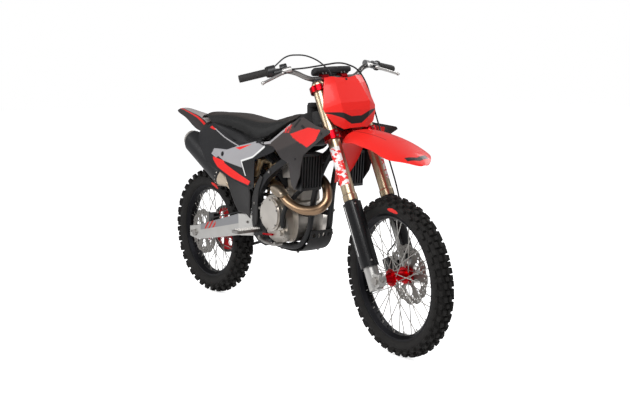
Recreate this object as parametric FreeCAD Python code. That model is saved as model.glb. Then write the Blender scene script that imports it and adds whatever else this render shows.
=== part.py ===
import FreeCAD, Part
import math
import os

# A full-size motocross bike. Millimetres. Modelled with x forward from the rear axle,
# y to the rider's left and z up from the ground, then moved so that the rider's
# seat point is the origin. The steering is turned a little to the right at rest.

# Layout of the whole bike
wheelbase = 1490.0
fork_reach = 772.0
rake_deg = 26.0
rest_turn_deg = -6.5
fork_offset = 22.0
axle_lead = 35.0
unit = 1.0
running_fit = 0.05
seat_gap = 0.3
overrun = 5.0
arc_share = 0.45

# Shares tie the bodywork to the rear tyre's front edge and to the steering head
tyre_share = 0.334
head_shares = (1.100346, 1.010882)
fork_reach_share = 0.772
rider_shares = (0.560, 0.955)

# Wheels and tyres
front_tyre_radius = 342.0
front_tyre_width = 90.0
front_bead_radius = 266.5
rear_tyre_radius = 334.0
rear_tyre_width = 110.0
rear_bead_radius = 241.5
tyre_lugs = 28
lug_height_share = 0.145
tyre_side_shares = ((0.42, 0.47), (0.76, 0.485))
shoulder_lug_shares = (0.90, 0.415, 0.30)
centre_lug_shares = (1.00, 0.19)
front_rim_width = 55.0
rear_rim_width = 66.0
rim_flange_height = 10.5
rim_well_depth = 14.0
rim_wall = 5.0
spoke_count = 36
spoke_radius = 2.0
hub_flange_gap_front = 62.0
hub_flange_gap_rear = 74.0
hub_flange_radius_front = 34.0
hub_flange_radius_rear = 44.0
hub_flange_wall = 7.0
hub_waist_radius = 24.0
hub_end_wall = 5.0
hub_seat_radius = 38.0
sprocket_seat_radius = 52.0
hub_core_width_front = 138.0
hub_core_width_rear = 180.0
axle_radius_front = 11.0
axle_radius_rear = 12.5
axle_head_radius = 17.0
axle_head_width = 8.0

# Brake discs
front_disc_radius = 130.0
rear_disc_radius = 120.0
disc_band = 28.0
disc_wall = 4.0
front_disc_y = 58.0
rear_disc_y = -61.0
disc_boss_radius = 42.0
disc_bore_radius = 26.0
disc_arm_count = 6
disc_wave_count = 12
disc_wave_depth = 6.0
disc_arm_width = 16.0
caliper_length = 105.0
caliper_depth = 48.0
caliper_width = 46.0
caliper_slot = 15.0
caliper_bracket_share = 0.5
front_caliper_shares = (0.86, 0.42)
rear_caliper_shares = (0.86, 0.50, 0.40)

# Final drive
chain_pitch = 15.875
rear_teeth = 48
front_teeth = 13
chain_y = 76.0
chain_plate_height = 15.0
chain_plate_wall = 3.6
chain_inner_width = 7.2
chain_pin_radius = 4.6
chain_end_pins = 3
sprocket_wall = 5.6
sprocket_window_count = 6
sprocket_window_radius = 22.0
sprocket_bore_radius = 40.0
countershaft_shares = (0.6632, 0.4474)

# Steering head and triple clamps, measured along the steering axis from the axle's level
clamp_half_spacing = 95.0
stem_radius = 15.0
head_tube_radius = 29.0
lower_clamp_share = 0.640
lower_clamp_height = 38.0
upper_clamp_share = 0.866
upper_clamp_height = 26.0
clamp_ring_wall = 12.0
clamp_boss_radius = 34.0
clamp_web_width = 34.0
head_play = 6.0
bar_level_share = 0.930
bar_post_radius = 13.0
bar_post_spacing = 96.0
bar_clamp_radius = 24.0
bar_clamp_width = 30.0
bar_forward = 12.0

# Fork
fork_outer_radius = 28.5
fork_collar_radius = 31.5
fork_collar_height = 26.0
fork_outer_low_share = 0.362
fork_outer_high_share = 0.902
fork_cap_height = 10.0
fork_inner_radius = 24.0
foot_top_level = 92.0
foot_low_level = -34.0
foot_radius = 30.0
foot_lug_width = 36.0
foot_eye_radius = 30.0
guard_wall = 3.0
guard_low_level = 66.0
guard_high_share = 0.352
guard_collar_height = 18.0
guard_gap = 7.0
guard_open_deg = 195.0

# Handlebar and its fittings
bar_centre_radius = 14.3
bar_end_radius = 11.1
bar_half_width = 400.0
grip_radius = 16.0
grip_length = 122.0
grip_flange_radius = 23.0
grip_flange_width = 6.0
pad_length = 196.0
pad_height = 44.0
pad_depth = 62.0
housing_radius = 25.0
housing_width = 34.0
master_radius = 14.0
master_length = 78.0
perch_share = 0.72
lever_length = 116.0
lever_radius = 6.0
lever_ball_radius = 8.0

# Front fender
fender_wall = 3.0

# Number plate
plate_wall = 3.5

# Main frame
spar_width = 30.0
spar_depth = 32.0
cradle_tube_radius = 14.0
pivot_shares = (0.600, 0.432)
pivot_plate_wall = 24.0
pivot_plate_y = 94.0
pivot_bolt_radius = 9.0
subframe_tube_radius = 10.0

# Swingarm
arm_inner_y = 92.0
arm_wall = 27.0
axle_slot_height = 60.0
boss_radius = 22.0
bridge_shares = ((0.372, 0.399), (0.434, 0.449))

# Engine
case_half_width = 84.0
case_length_share = 0.238
clutch_shares = (0.741, 0.526)
clutch_radius_share = 0.080
clutch_face_y = -148.0
ignition_shares = (0.800, 0.470)
ignition_radius_share = 0.072
ignition_face_y = 132.0
cylinder_foot_shares = (0.812, 0.609)
head_foot_shares = (0.812, 0.694)
head_top_shares = (0.812, 0.784)
cylinder_length_share = 0.120
head_length_share = 0.128
cylinder_width = 114.0
head_width = 138.0
cylinder_lean_deg = -6.0
pipe_radius = 22.0
muffler_length = 345.0
muffler_height = 122.0
muffler_width = 92.0
muffler_cap_length = 34.0
muffler_outlet_radius = 20.0

# Bodywork
panel_wall = 3.5
mount_radius = 8.0
mount_depth = 24.0
body_half_width = 100.0

# Wheels, as shares
spoke_cross_share = 0.62
tooth_height_share = 0.85
tooth_turn_shares = (0.22, 0.40, 0.60, 0.78)

# The steering's outlines and routes, as shares of the fork's reach
guard_turn_deg = 52.5
bar_route_shares = [
    (0.012, 0.0, 0.930), (0.012, 1.15, 0.930), (-0.004, 1.85, 0.986),
    (-0.030, 2.60, 1.004), (-0.084, 4.00, 1.000),
]
pad_end_shares = ((-0.5, 0.80), (-0.46, 1.0), (0.46, 1.0), (0.5, 0.80))
fender_shares = [
    (0.030, 0.58, 0.634, 0.630), (0.064, 0.62, 0.640, 0.632), (0.092, 0.96, 0.650, 0.606),
    (0.150, 1.02, 0.628, 0.580), (0.216, 1.06, 0.588, 0.540), (0.296, 1.08, 0.528, 0.486),
    (0.376, 1.02, 0.448, 0.416), (0.420, 0.66, 0.398, 0.384), (0.442, 0.36, 0.368, 0.362),
    (0.452, 0.12, 0.354, 0.352),
]
fender_mount_shares = ((0.008, -0.22, 0.622), (0.031, 0.22, 0.640))
tongue_shares = [
    (0.040, 0.58, 0.634, 0.630), (-0.030, 0.60, 0.604, 0.592), (-0.085, 0.52, 0.570, 0.560),
    (-0.130, 0.38, 0.540, 0.534), (-0.174, 0.25, 0.512, 0.510),
]
plate_shares = [
    (0.905, 0.95, 0.090, 0.102), (0.870, 1.08, 0.086, 0.110), (0.768, 1.34, 0.072, 0.126),
    (0.735, 1.24, 0.072, 0.118), (0.694, 1.00, 0.072, 0.092), (0.668, 0.60, 0.074, 0.082),
]
plate_strap_shares = ((0.028, -0.14, 0.867), (0.1065, 0.14, 0.879))
plate_ridge_share = 0.56
notch_radius = 190.0
notch_rise = 178.0
lever_droop_deg = 42.0
lever_start_share = 0.62
lever_tip_reach = 104.0

# The chassis' outlines and routes, as shares
spar_route_shares = [
    (1.082, -0.16, 1.008), (0.982, -0.70, 0.898), (0.909, -1.00, 0.823), (0.794, -1.10, 0.763),
    (0.682, -1.10, 0.701), (0.592, -1.10, 0.592), (0.586, -1.08, 0.500),
]
pivot_plate_shares = [
    (0.560, 0.560), (0.628, 0.560), (0.650, 0.470), (0.700, 0.400), (0.668, 0.362),
    (0.610, 0.372), (0.566, 0.402), (0.552, 0.470),
]
cross_beam_radius = 15.0
cross_beam_shares = (0.692, 0.724)
shock_mount_shares = [
    (0.690, 0.722), (0.690, 0.750), (0.590, 0.806), (0.562, 0.812), (0.544, 0.792), (0.560, 0.770),
    (0.590, 0.766),
]
down_tube_shares = [
    (1.106, -0.15, 0.958), (1.084, -0.17, 0.873), (1.012, -0.40, 0.755), (0.972, -0.50, 0.655),
    (0.938, -0.58, 0.460), (0.880, -0.64, 0.382), (0.780, -0.74, 0.374), (0.680, -0.796, 0.384),
]
engine_mount_shares = ((0.880, -0.58, 0.528), (0.955, -0.46, 0.552))
upper_rail_shares = [
    (0.690, -0.84, 0.762), (0.560, -0.84, 0.822), (0.400, -0.82, 0.836), (0.250, -0.76, 0.846),
    (0.060, -0.64, 0.864),
]
lower_rail_shares = [
    (0.575, -0.83, 0.570), (0.470, -0.83, 0.660), (0.330, -0.80, 0.780), (0.250, -0.76, 0.846),
]
arm_stations_shares = [
    (-0.056, 0.310, 0.362, 0.92, 1.16), (0.030, 0.302, 0.378, 0.92, 1.19), (0.250, 0.344, 0.438, 0.92, 1.21),
    (0.430, 0.380, 0.488, 0.90, 1.18), (0.510, 0.386, 0.490, 0.66, 0.935), (0.570, 0.394, 0.482, 0.64, 0.93),
    (0.634, 0.408, 0.458, 0.64, 0.93),
]
link_shares = [
    (0.430, 0.425), (0.430, 0.462), (0.475, 0.466), (0.512, 0.452), (0.512, 0.430), (0.480, 0.418),
]
link_wall = 8.0
chain_clearance = 4.0
guide_half_width = 16.0
guide_shares = [(0.150, 0.226), (0.240, 0.250), (0.236, 0.352), (0.150, 0.338)]
guide_tunnel_shares = [(0.140, 0.240), (0.250, 0.270), (0.250, 0.318), (0.140, 0.288)]
shock_top_shares = (0.565, 0.0, 0.790)
shock_low_shares = (0.490, 0.0, 0.440)
shock_body_radius = 24.0
shock_rod_radius = 8.0
shock_eye_radius = 18.0
shock_neck_radius = 15.0
shock_neck_share = 0.105
shock_body_share = 0.5
shock_eye_width = 36.0
spring_radius = 34.0
spring_wire = 6.0
spring_turns = 7
reservoir_radius = 25.0
bridge_radius = 14.0
bridge_share = 0.13
bridge_end_share = 0.12
spring_top_share = 0.20
spring_low_share = 0.90
reservoir_shares = ((0.556, -0.70, 0.776), (0.508, -0.70, 0.690))

# The engine's outlines and routes, as shares
case_shares = [
    (0.660, 0.480), (0.650, 0.560), (0.690, 0.600), (0.750, 0.606), (0.810, 0.604), (0.862, 0.596),
    (0.888, 0.540), (0.886, 0.460), (0.856, 0.410), (0.790, 0.398), (0.710, 0.402), (0.668, 0.428),
]
right_case_shares = [
    (0.668, 0.500), (0.664, 0.560), (0.700, 0.606), (0.760, 0.612), (0.800, 0.580), (0.846, 0.520),
    (0.856, 0.460), (0.830, 0.410), (0.760, 0.396), (0.700, 0.420),
]
pump_shares = (0.826, 0.448)
pump_radius = 27.0
pump_face_y = -138.0
left_case_share = 0.70
clutch_case_y = -122.0
cover_step_share = 0.1
barrel_waist_share = 0.45
barrel_skirt = 24.0
waist_share = 0.88
cam_cover_share = 0.62
plug_tube_radius = 17.0
casting_fillet = 9.0
case_ends = ((0.650, 0.0, 0.500), (0.888, 0.0, 0.500))
header_shares = [
    (0.872, 0.00, 0.712), (0.950, -0.02, 0.712), (1.020, -0.16, 0.672), (1.050, -0.40, 0.610),
    (1.030, -0.80, 0.572), (0.960, -1.12, 0.566), (0.880, -1.30, 0.592), (0.800, -1.20, 0.636),
    (0.735, -0.82, 0.646), (0.668, -0.62, 0.658), (0.580, -0.80, 0.664), (0.520, -1.17, 0.640),
]
muffler_nose_length = 70.0
muffler_cap_shares = (0.72, 0.78)
muffler_rear_shares = (-0.006, -1.16, 0.820)
muffler_front_shares = (0.290, -1.16, 0.664)
radiator_shares = [(1.004, 0.836), (1.050, 0.832), (1.038, 0.668), (0.992, 0.672)]
radiator_bracket_shares = ((1.034, -0.33, 0.792), (1.002, -0.42, 0.728))
louvre_shares = [(1.032, 0.680), (1.060, 0.680), (1.060, 0.820), (1.041, 0.820)]
louvre_count = 7
radiator_inner_share = 0.66
radiator_outer_share = 1.76

# The bodywork's outlines and sections, as shares
seat_shares = [
    (-0.004, 0.70, 0.962, 0.935), (0.090, 0.82, 0.972, 0.930), (0.300, 0.90, 0.974, 0.902),
    (0.480, 0.96, 0.956, 0.868), (0.590, 0.96, 0.952, 0.858), (0.690, 0.86, 0.966, 0.900),
    (0.800, 0.66, 0.992, 0.962), (0.846, 0.50, 1.004, 0.985),
]
crown_shares = ((-0.62, 0.94), (-0.96, 0.60), (-1.0, 0.0))
seat_foot_shares = ((0.440, -0.90, 0.834), (0.470, -0.76, 0.885))
tank_shares = [
    (0.640, 0.70, 0.890, 0.836), (0.720, 0.95, 0.905, 0.836), (0.800, 1.02, 0.948, 0.838),
    (0.846, 1.05, 0.975, 0.846), (0.930, 0.98, 1.012, 0.905), (1.000, 0.70, 0.995, 0.925),
]
tank_cap_radius = 30.0
tank_cap_height = 52.0
seat_room_shares = (0.4, 0.1, 0.0003)
shroud_mount_shares = (1.020, 0, 0.812)
shroud_outline_shares = [
    (0.990, 0.990), (0.905, 0.958), (0.770, 0.872), (0.690, 0.858), (0.800, 0.848), (0.870, 0.803),
    (0.955, 0.784), (0.974, 0.690), (1.002, 0.668), (1.058, 0.740), (1.086, 0.832),
    (1.118, 0.854), (1.210, 0.914), (1.262, 0.940), (1.255, 0.950), (1.130, 0.962),
]
shroud_skin_shares = [
    (0.660, [(1.18, 1.020), (1.36, 0.930), (1.58, 0.840), (1.56, 0.750), (1.50, 0.640)]),
    (0.760, [(1.20, 1.020), (1.40, 0.930), (1.60, 0.840), (1.58, 0.750), (1.52, 0.640)]),
    (0.900, [(1.18, 1.020), (1.46, 0.930), (1.72, 0.840), (1.74, 0.750), (1.70, 0.640)]),
    (1.040, [(1.28, 1.020), (1.66, 0.930), (1.96, 0.840), (1.98, 0.750), (1.90, 0.640)]),
    (1.160, [(1.48, 1.020), (1.84, 0.930), (2.00, 0.840), (2.00, 0.750), (1.96, 0.640)]),
    (1.290, [(1.66, 1.020), (1.90, 0.930), (2.02, 0.840), (2.02, 0.750), (2.00, 0.640)]),
]
side_mount_shares = ((0.500, -0.84, 0.828), (0.430, -0.84, 0.694))
side_outline_shares = [
    (0.070, 0.870), (0.130, 0.908), (0.230, 0.922), (0.340, 0.890), (0.450, 0.852), (0.580, 0.850),
    (0.655, 0.869), (0.808, 0.842), (0.780, 0.822), (0.622, 0.773), (0.600, 0.640), (0.580, 0.625),
    (0.400, 0.678), (0.205, 0.742), (0.080, 0.840),
]
side_skin_shares = [
    (0.020, [(0.98, 0.950), (1.22, 0.860), (1.56, 0.740), (1.56, 0.600)]),
    (0.180, [(1.12, 0.950), (1.40, 0.860), (1.68, 0.740), (1.68, 0.600)]),
    (0.340, [(1.20, 0.950), (1.50, 0.860), (1.72, 0.740), (1.72, 0.600)]),
    (0.540, [(1.26, 0.950), (1.46, 0.860), (1.54, 0.740), (1.44, 0.600)]),
    (0.820, [(1.34, 0.950), (1.50, 0.860), (1.52, 0.740), (1.44, 0.600)]),
]
tail_mount_shares = (0.085, 0.64, 0.864)
tail_mount_depth = 45.0
tail_shares = [
    (0.120, 0.80, 0.905, 0.868), (0.030, 0.84, 0.920, 0.874), (-0.030, 0.84, 0.944, 0.886),
    (-0.120, 0.72, 0.962, 0.918),
    (-0.220, 0.58, 0.974, 0.948), (-0.296, 0.44, 0.980, 0.968),
]
airbox_shares = [
    (0.235, 0.740), (0.235, 0.824), (0.445, 0.812), (0.435, 0.700), (0.400, 0.650), (0.300, 0.670),
]
flap_shares = [
    (0.400, 0.650), (0.436, 0.700), (0.440, 0.700), (0.412, 0.645), (0.408, 0.560), (0.398, 0.500),
    (0.394, 0.500), (0.402, 0.560),
]
flap_half_width = 50.0
airbox_lug_shares = (0.360, -0.80, 0.7543)
airbox_half_width = 62.0
skid_outline_shares = [
    (0.660, 0.362), (0.780, 0.354), (0.886, 0.362), (0.958, 0.430), (0.968, 0.476), (0.974, 0.475),
    (0.964, 0.426), (0.890, 0.356), (0.780, 0.348), (0.660, 0.356),
]
skid_hole_shares = (-0.42, -0.14, 0.14, 0.42)
skid_hole_place = (0.930, 0.452)
skid_hole_radius = 9.0
skid_pad_shares = ((0.790, -0.74, 0.351), (0.830, -0.58, 0.368))
skid_half_width = 74.0
skid_wall = 4.0
peg_shares = (0.600, 0.0, 0.425)
pedal_shares = ((0.640, -1.30, 0.400), (0.700, -1.52, 0.392), (0.800, -1.66, 0.392), (0.846, -1.66, 0.402))
pedal_pad_shares = ((0.846, -1.90, 0.404), (0.846, -1.50, 0.404))
gear_lever_shares = ((0.715, 1.46, 0.418), (0.760, 1.50, 0.416), (0.804, 1.50, 0.414))
gear_toe_shares = ((0.804, 1.42, 0.414), (0.804, 1.80, 0.414))
pedal_hub_radius = 11.0
peg_half_length = 26.0
peg_reach = 130.0
peg_height = 14.0
pedal_radius = 7.0
pedal_tip_radius = 9.0

# The cords' routes, as shares of the fork's reach
hose_radius = 3.6
cable_radius = 3.2
hose_route_shares = [
    (0.0160, -1.982, 0.9857), (0.050, -1.56, 0.972), (0.098, -0.90, 0.960), (0.108, 0.00, 0.965),
    (0.086, 0.90, 0.940), (0.060, 1.32, 0.880), (0.052, 1.38, 0.770), (0.054, 1.34, 0.660),
    (0.060, 1.30, 0.520), (0.056, 1.32, 0.400), (0.016, 1.50, 0.300), (-0.016, 1.40, 0.216),
    (-0.044, 1.06, 0.160), (-0.054, 0.62, 0.130), (-0.055, 0.58, 0.1082),
]
throttle_route_shares = [
    (-0.0260, -2.518, 1.023), (0.010, -2.00, 1.056), (0.060, -1.40, 1.030), (0.078, -0.90, 0.990),
    (0.084, -0.52, 0.930), (0.072, -0.46, 0.880), (0.0286, -0.46, 0.880),
]

Vector = FreeCAD.Vector
across = Vector(0, unit, 0)
upward = Vector(0, 0, unit)
rake = math.radians(rake_deg)
right_angle = math.radians(90.0)
full_turn_deg = 360.0
forward_of_axis = Vector(math.cos(rake), 0, math.sin(rake))
along_axis = Vector(-math.sin(rake), 0, math.cos(rake))
rear_axle = Vector(0, 0, rear_tyre_radius)
front_axle = Vector(wheelbase, 0, front_tyre_radius)
axle_reach = fork_offset + axle_lead
axis_foot = front_axle - forward_of_axis * axle_reach
head_middle = axis_foot + along_axis * fork_reach
fork_unit = fork_reach / fork_reach_share
lower_clamp_level = lower_clamp_share * fork_unit
upper_clamp_level = upper_clamp_share * fork_unit
bar_level = bar_level_share * fork_unit
fork_outer_low = fork_outer_low_share * fork_unit
fork_outer_high = fork_outer_high_share * fork_unit
guard_high_level = guard_high_share * fork_unit
head_low_level = lower_clamp_level + lower_clamp_height + head_play
head_high_level = upper_clamp_level - head_play


# Shared ways of making shapes

def stretched(share, near, far_share, far):
    """A length that runs evenly to the rear tyre's edge, and on from there to the head."""
    if share < tyre_share:
        return share / tyre_share * near
    return near + (share - tyre_share) / (far_share - tyre_share) * (far - near)


def spot(x_share, y_share, z_share):
    """A point in the whole bike's frame, tied to the rear tyre and the steering head."""
    x = stretched(x_share, rear_tyre_radius, head_shares[0], head_middle.x)
    z = stretched(z_share, rear_tyre_radius, head_shares[1], head_middle.z)
    return Vector(x, y_share * body_half_width, z)


def stem_spot(x_share, y_share, level_share):
    """A point in the steering's own upright frame, from shares of the fork's reach."""
    return Vector(x_share * fork_unit, y_share * body_half_width, level_share * fork_unit)


def side_place(shares):
    """The x and z of a place in the side view."""
    place = spot(shares[0], 0, shares[1])
    return place.x, place.z


def mirrored_spot(shares):
    """The point on the other side of the bike."""
    x, y, z = shares
    return spot(x, -y, z)


def cylinder(radius, start, end):
    """A round bar between two points."""
    return Part.makeCylinder(radius, (end - start).Length, start, end - start)


def bar_across(radius, x, z, y_low, y_high):
    """A round bar that lies across the bike."""
    return cylinder(radius, Vector(x, y_low, z), Vector(x, y_high, z))


def block(x_low, x_high, y_low, y_high, z_low, z_high):
    """A plain block between two corners."""
    size = (x_high - x_low, y_high - y_low, z_high - z_low)
    return Part.makeBox(*size, Vector(x_low, y_low, z_low))


def side_plate(outline, y_low, y_high):
    """A plate whose outline, in shares, shows from the side."""
    points = [spot(x, 0, z) + Vector(0, y_low, 0) for x, z in outline]
    face = Part.Face(Part.makePolygon(points + points[:1]))
    return face.extrude(Vector(0, y_high - y_low, 0))


def smooth_side_plate(outline, y_low, y_high):
    """A plate whose side outline is one smooth closed curve."""
    curve = Part.BSplineCurve()
    points = [spot(x, 0, z) + Vector(0, y_low, 0) for x, z in outline]
    curve.interpolate(points, PeriodicFlag=True)
    face = Part.Face(Part.Wire(curve.toShape()))
    return face.extrude(Vector(0, y_high - y_low, 0))


def arc_route(points):
    """Straight runs joined by tangent arcs as large as the runs allow."""
    edges = []
    start = points[0]
    for before, corner, after in zip(points, points[1:], points[2:]):
        back = before - corner
        ahead = after - corner
        reach = arc_share * min(back.Length, ahead.Length)
        back.normalize()
        ahead.normalize()
        half = back.getAngle(ahead) / 2
        bisector = (back + ahead).normalize()
        radius = reach * math.tan(half)
        centre = corner + bisector * (reach / math.cos(half))
        entry = corner + back * reach
        leave = corner + ahead * reach
        edges.append(Part.LineSegment(start, entry).toShape())
        edges.append(Part.Arc(entry, centre - bisector * radius, leave).toShape())
        start = leave
    edges.append(Part.LineSegment(start, points[-1]).toShape())
    return Part.Wire(edges)


def tube(points, radius):
    """A round tube along a route of points."""
    section = Part.Wire(Part.makeCircle(radius, points[0], points[1] - points[0]))
    return arc_route(points).makePipeShell([section], True, False)


def box_tube(points, width, depth):
    """A rectangular tube along a route, its width kept across the bike."""
    run = (points[1] - points[0]).normalize()
    side = across * (width / 2)
    rise = across.cross(run).normalize() * (depth / 2)
    start = points[0]
    corners = [start + side + rise, start - side + rise, start - side - rise, start + side - rise]
    section = Part.makePolygon(corners + corners[:1])
    sweep = Part.BRepOffsetAPI.MakePipeShell(arc_route(points))
    sweep.setBiNormalMode(across)
    sweep.setTransitionMode(1)
    sweep.add(section, False, False)
    sweep.build()
    sweep.makeSolid()
    return sweep.shape()


def turned_ring(profile, base, axis):
    """A solid of revolution from (radius, place along the axis) pairs."""
    aside = Vector(unit, 0, 0) if abs(axis.z) > abs(axis.x) else upward
    points = [base + aside * radius + axis * place for radius, place in profile]
    face = Part.Face(Part.makePolygon(points + points[:1]))
    return face.revolve(base, axis, full_turn_deg)


def smooth_section(points):
    """A closed smooth curve through points, for lofts."""
    curve = Part.BSplineCurve()
    curve.interpolate(points, PeriodicFlag=True)
    return Part.Wire(curve.toShape())


def loft(sections, ruled=False):
    """A solid through closed sections."""
    return Part.makeLoft(sections, True, ruled)


def strip_section(points, inward):
    """A thin closed section: a smooth outer line and the same line moved inward."""
    outer = Part.BSplineCurve()
    outer.interpolate(points)
    moved = [point + step for point, step in zip(points, inward)]
    inner = Part.BSplineCurve()
    inner.interpolate(moved[::-1])
    ends = [
        Part.LineSegment(points[-1], moved[-1]).toShape(),
        Part.LineSegment(moved[0], points[0]).toShape(),
    ]
    return Part.Wire([outer.toShape(), ends[0], inner.toShape(), ends[1]])


def mirrored(shape):
    """The same shape on the other side of the bike."""
    return shape.mirror(Vector(0, 0, 0), across)


def fused(shapes):
    """One solid from shapes that meet or overlap."""
    whole = shapes[0].multiFuse(shapes[1:])
    return whole.removeSplitter()


def raked(shape):
    """Move a shape drawn upright about the steering axis to its raked place."""
    copy = shape.copy()
    copy.rotate(Vector(0, 0, 0), across, -rake_deg)
    copy.translate(axis_foot)
    return copy


def steered(shape):
    """Turn a shape with the steering to its place at rest."""
    copy = shape.copy()
    copy.rotate(axis_foot, along_axis, rest_turn_deg)
    return copy


# Places in the side view that several pieces share

pivot_x, pivot_z = side_place(pivot_shares)
clutch_x, clutch_z = side_place(clutch_shares)
ignition_x, ignition_z = side_place(ignition_shares)
cylinder_x, cylinder_foot_z = side_place(cylinder_foot_shares)
head_foot_z = side_place(head_foot_shares)[1]
head_top_z = side_place(head_top_shares)[1]
cross_beam_x, cross_beam_z = side_place(cross_beam_shares)
engine_unit = (spot(*case_ends[1]) - spot(*case_ends[0])).Length / case_length_share
clutch_radius = clutch_radius_share * engine_unit
ignition_radius = ignition_radius_share * engine_unit
cylinder_length = cylinder_length_share * engine_unit
head_length = head_length_share * engine_unit


# Wheels, drawn about their own axle at the origin with the axle along y

def tyre_profiles(radius, width, bead_radius, rim_width):
    """Two profiles across a tyre: through a middle lug, and through a pair of side lugs."""
    corner = math.cos(math.pi / (2 * tyre_lugs))
    inside = rim_width / 2 - rim_wall - seat_gap
    height = radius - bead_radius
    seat = (bead_radius + seat_gap) / corner
    flange = (bead_radius + rim_flange_height + seat_gap) / corner
    side_out, side_share, side_in = shoulder_lug_shares
    crown, middle = centre_lug_shares

    def line(places):
        half = [(bead_radius + out * height, side * width) for out, side in places]
        bead = [(flange, -inside), (seat, -inside), (seat, inside), (flange, inside)]
        return bead + half + mirror_line(half)

    low_side = side_out - lug_height_share
    low_crown = crown - lug_height_share
    shoulder = (side_out + crown) / 2 - lug_height_share
    through_middle = [
        *tyre_side_shares, (low_side, side_share), (shoulder, side_in), (shoulder, side_in),
        (low_crown, middle), (crown, middle),
    ]
    through_sides = [
        *tyre_side_shares, (side_out, side_share), (shoulder + lug_height_share, side_in),
        (shoulder, side_in), (low_crown, middle), (low_crown, middle),
    ]
    return line(through_middle), line(through_sides)


def mirror_line(half):
    """The other half of a profile, in the order that carries on round it."""
    return [(out, -side) for out, side in half[::-1]]


def facet(corners):
    """A flat face through corners, each named once."""
    points = [corner for corner, before in zip(corners, corners[-1:] + corners) if corner != before]
    return Part.Face(Part.makePolygon(points + points[:1]))


def lug_walls(ring, following):
    """The walls between two profiles at one turn, where a lug of either ends."""
    faces = []
    apart = [place for place in range(len(ring)) if (ring[place] - following[place]).Length > seat_gap]
    while apart:
        group = [apart.pop(0)]
        while apart and apart[0] == group[-1] + 1:
            group.append(apart.pop(0))
        line = range(group[0] - 1, group[-1] + 2)
        first = [ring[place % len(ring)] for place in line]
        second = [following[place % len(ring)] for place in line][1:-1]
        faces.append(facet(first + second[::-1]))
    return faces


def tyre(radius, width, bead_radius, rim_width):
    """A tyre of flat facets whose middle and side lugs take turns round the wheel."""
    profiles = tyre_profiles(radius, width, bead_radius, rim_width)
    step = math.pi / tyre_lugs
    faces = []
    for row in range(2 * tyre_lugs):
        rings = []
        for turn in (row, row + 1):
            aim = Vector(math.cos(turn * step), 0, math.sin(turn * step))
            rings.append([aim * out + across * side for out, side in profiles[row % 2]])
        for place in range(len(rings[0])):
            beside = (place + 1) % len(rings[0])
            if rings[0][place] != rings[0][beside]:
                faces.append(facet([rings[0][place], rings[0][beside], rings[1][beside], rings[1][place]]))
        aim = Vector(math.cos((row + 1) * step), 0, math.sin((row + 1) * step))
        other = [aim * out + across * side for out, side in profiles[(row + 1) % 2]]
        faces += lug_walls(rings[1], other)
    sewn = Part.makeShell(faces)
    sewn.sewShape()
    solid = Part.Solid(sewn)
    if solid.Volume < 0:
        solid.reverse()
    return solid


def rim(bead_radius, width):
    """A rim with two flanges and a dropped well."""
    half = width / 2
    well_half = half / 2
    flange = bead_radius + rim_flange_height
    well = bead_radius - rim_well_depth
    profile = [
        (flange, -half), (flange, rim_wall - half), (bead_radius, rim_wall - half),
        (bead_radius, -well_half), (well, -well_half), (well, well_half),
        (bead_radius, well_half), (bead_radius, half - rim_wall), (flange, half - rim_wall),
        (flange, half), (bead_radius - rim_wall, half), (well - rim_wall, well_half),
        (well - rim_wall, -well_half), (bead_radius - rim_wall, -half),
    ]
    return turned_ring(profile, Vector(0, 0, 0), across)


def rim_inner_radius(bead_radius):
    """Where the spokes meet the rim."""
    return bead_radius - rim_well_depth - rim_wall - seat_gap


def seat_flange(y, radius, bore):
    """A flange of the hub whose outer face carries a disc or sprocket."""
    inward = -hub_flange_wall if y > 0 else hub_flange_wall
    flange = bar_across(radius, 0, 0, min(y, y + inward), max(y, y + inward))
    return flange.cut(bar_across(bore, 0, 0, -abs(y) * 2, abs(y) * 2))


def spoked_hub(flange_gap, flange_radius, core_width, axle_radius, reach, seats):
    """A hub with two flanges, laced to the rim with crossing spokes."""
    half = core_width / 2
    flange = flange_gap / 2
    bore = axle_radius + running_fit
    end_radius = bore + hub_end_wall
    profile = [
        (bore, -half), (end_radius, -half), (hub_waist_radius, -flange - hub_flange_wall),
        (flange_radius, -flange - hub_flange_wall), (flange_radius, -flange),
        (hub_waist_radius, -flange), (hub_waist_radius, flange), (flange_radius, flange),
        (flange_radius, flange + hub_flange_wall), (hub_waist_radius, flange + hub_flange_wall),
        (end_radius, half), (bore, half),
    ]
    parts = [turned_ring(profile, Vector(0, 0, 0), across)]
    parts += [seat_flange(y, radius, bore) for y, radius in seats]
    step = 2 * math.pi / spoke_count
    hold_radius = flange_radius - 2 * spoke_radius
    for spoke in range(spoke_count):
        side = 1 if spoke % 2 else -1
        lean = 1 if spoke % 4 < 2 else -1
        outer_angle = spoke * step
        inner_angle = outer_angle + lean * right_angle * spoke_cross_share
        root = Vector(math.cos(inner_angle), 0, math.sin(inner_angle)) * hold_radius
        root = root + across * side * (flange + hub_flange_wall / 2)
        tip = Vector(math.cos(outer_angle), 0, math.sin(outer_angle)) * reach
        parts.append(cylinder(spoke_radius, root, tip + across * side * spoke_radius))
    trim = Part.makeCylinder(reach, 2 * core_width, across * -core_width, across)
    return fused(parts).common(trim)


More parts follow.
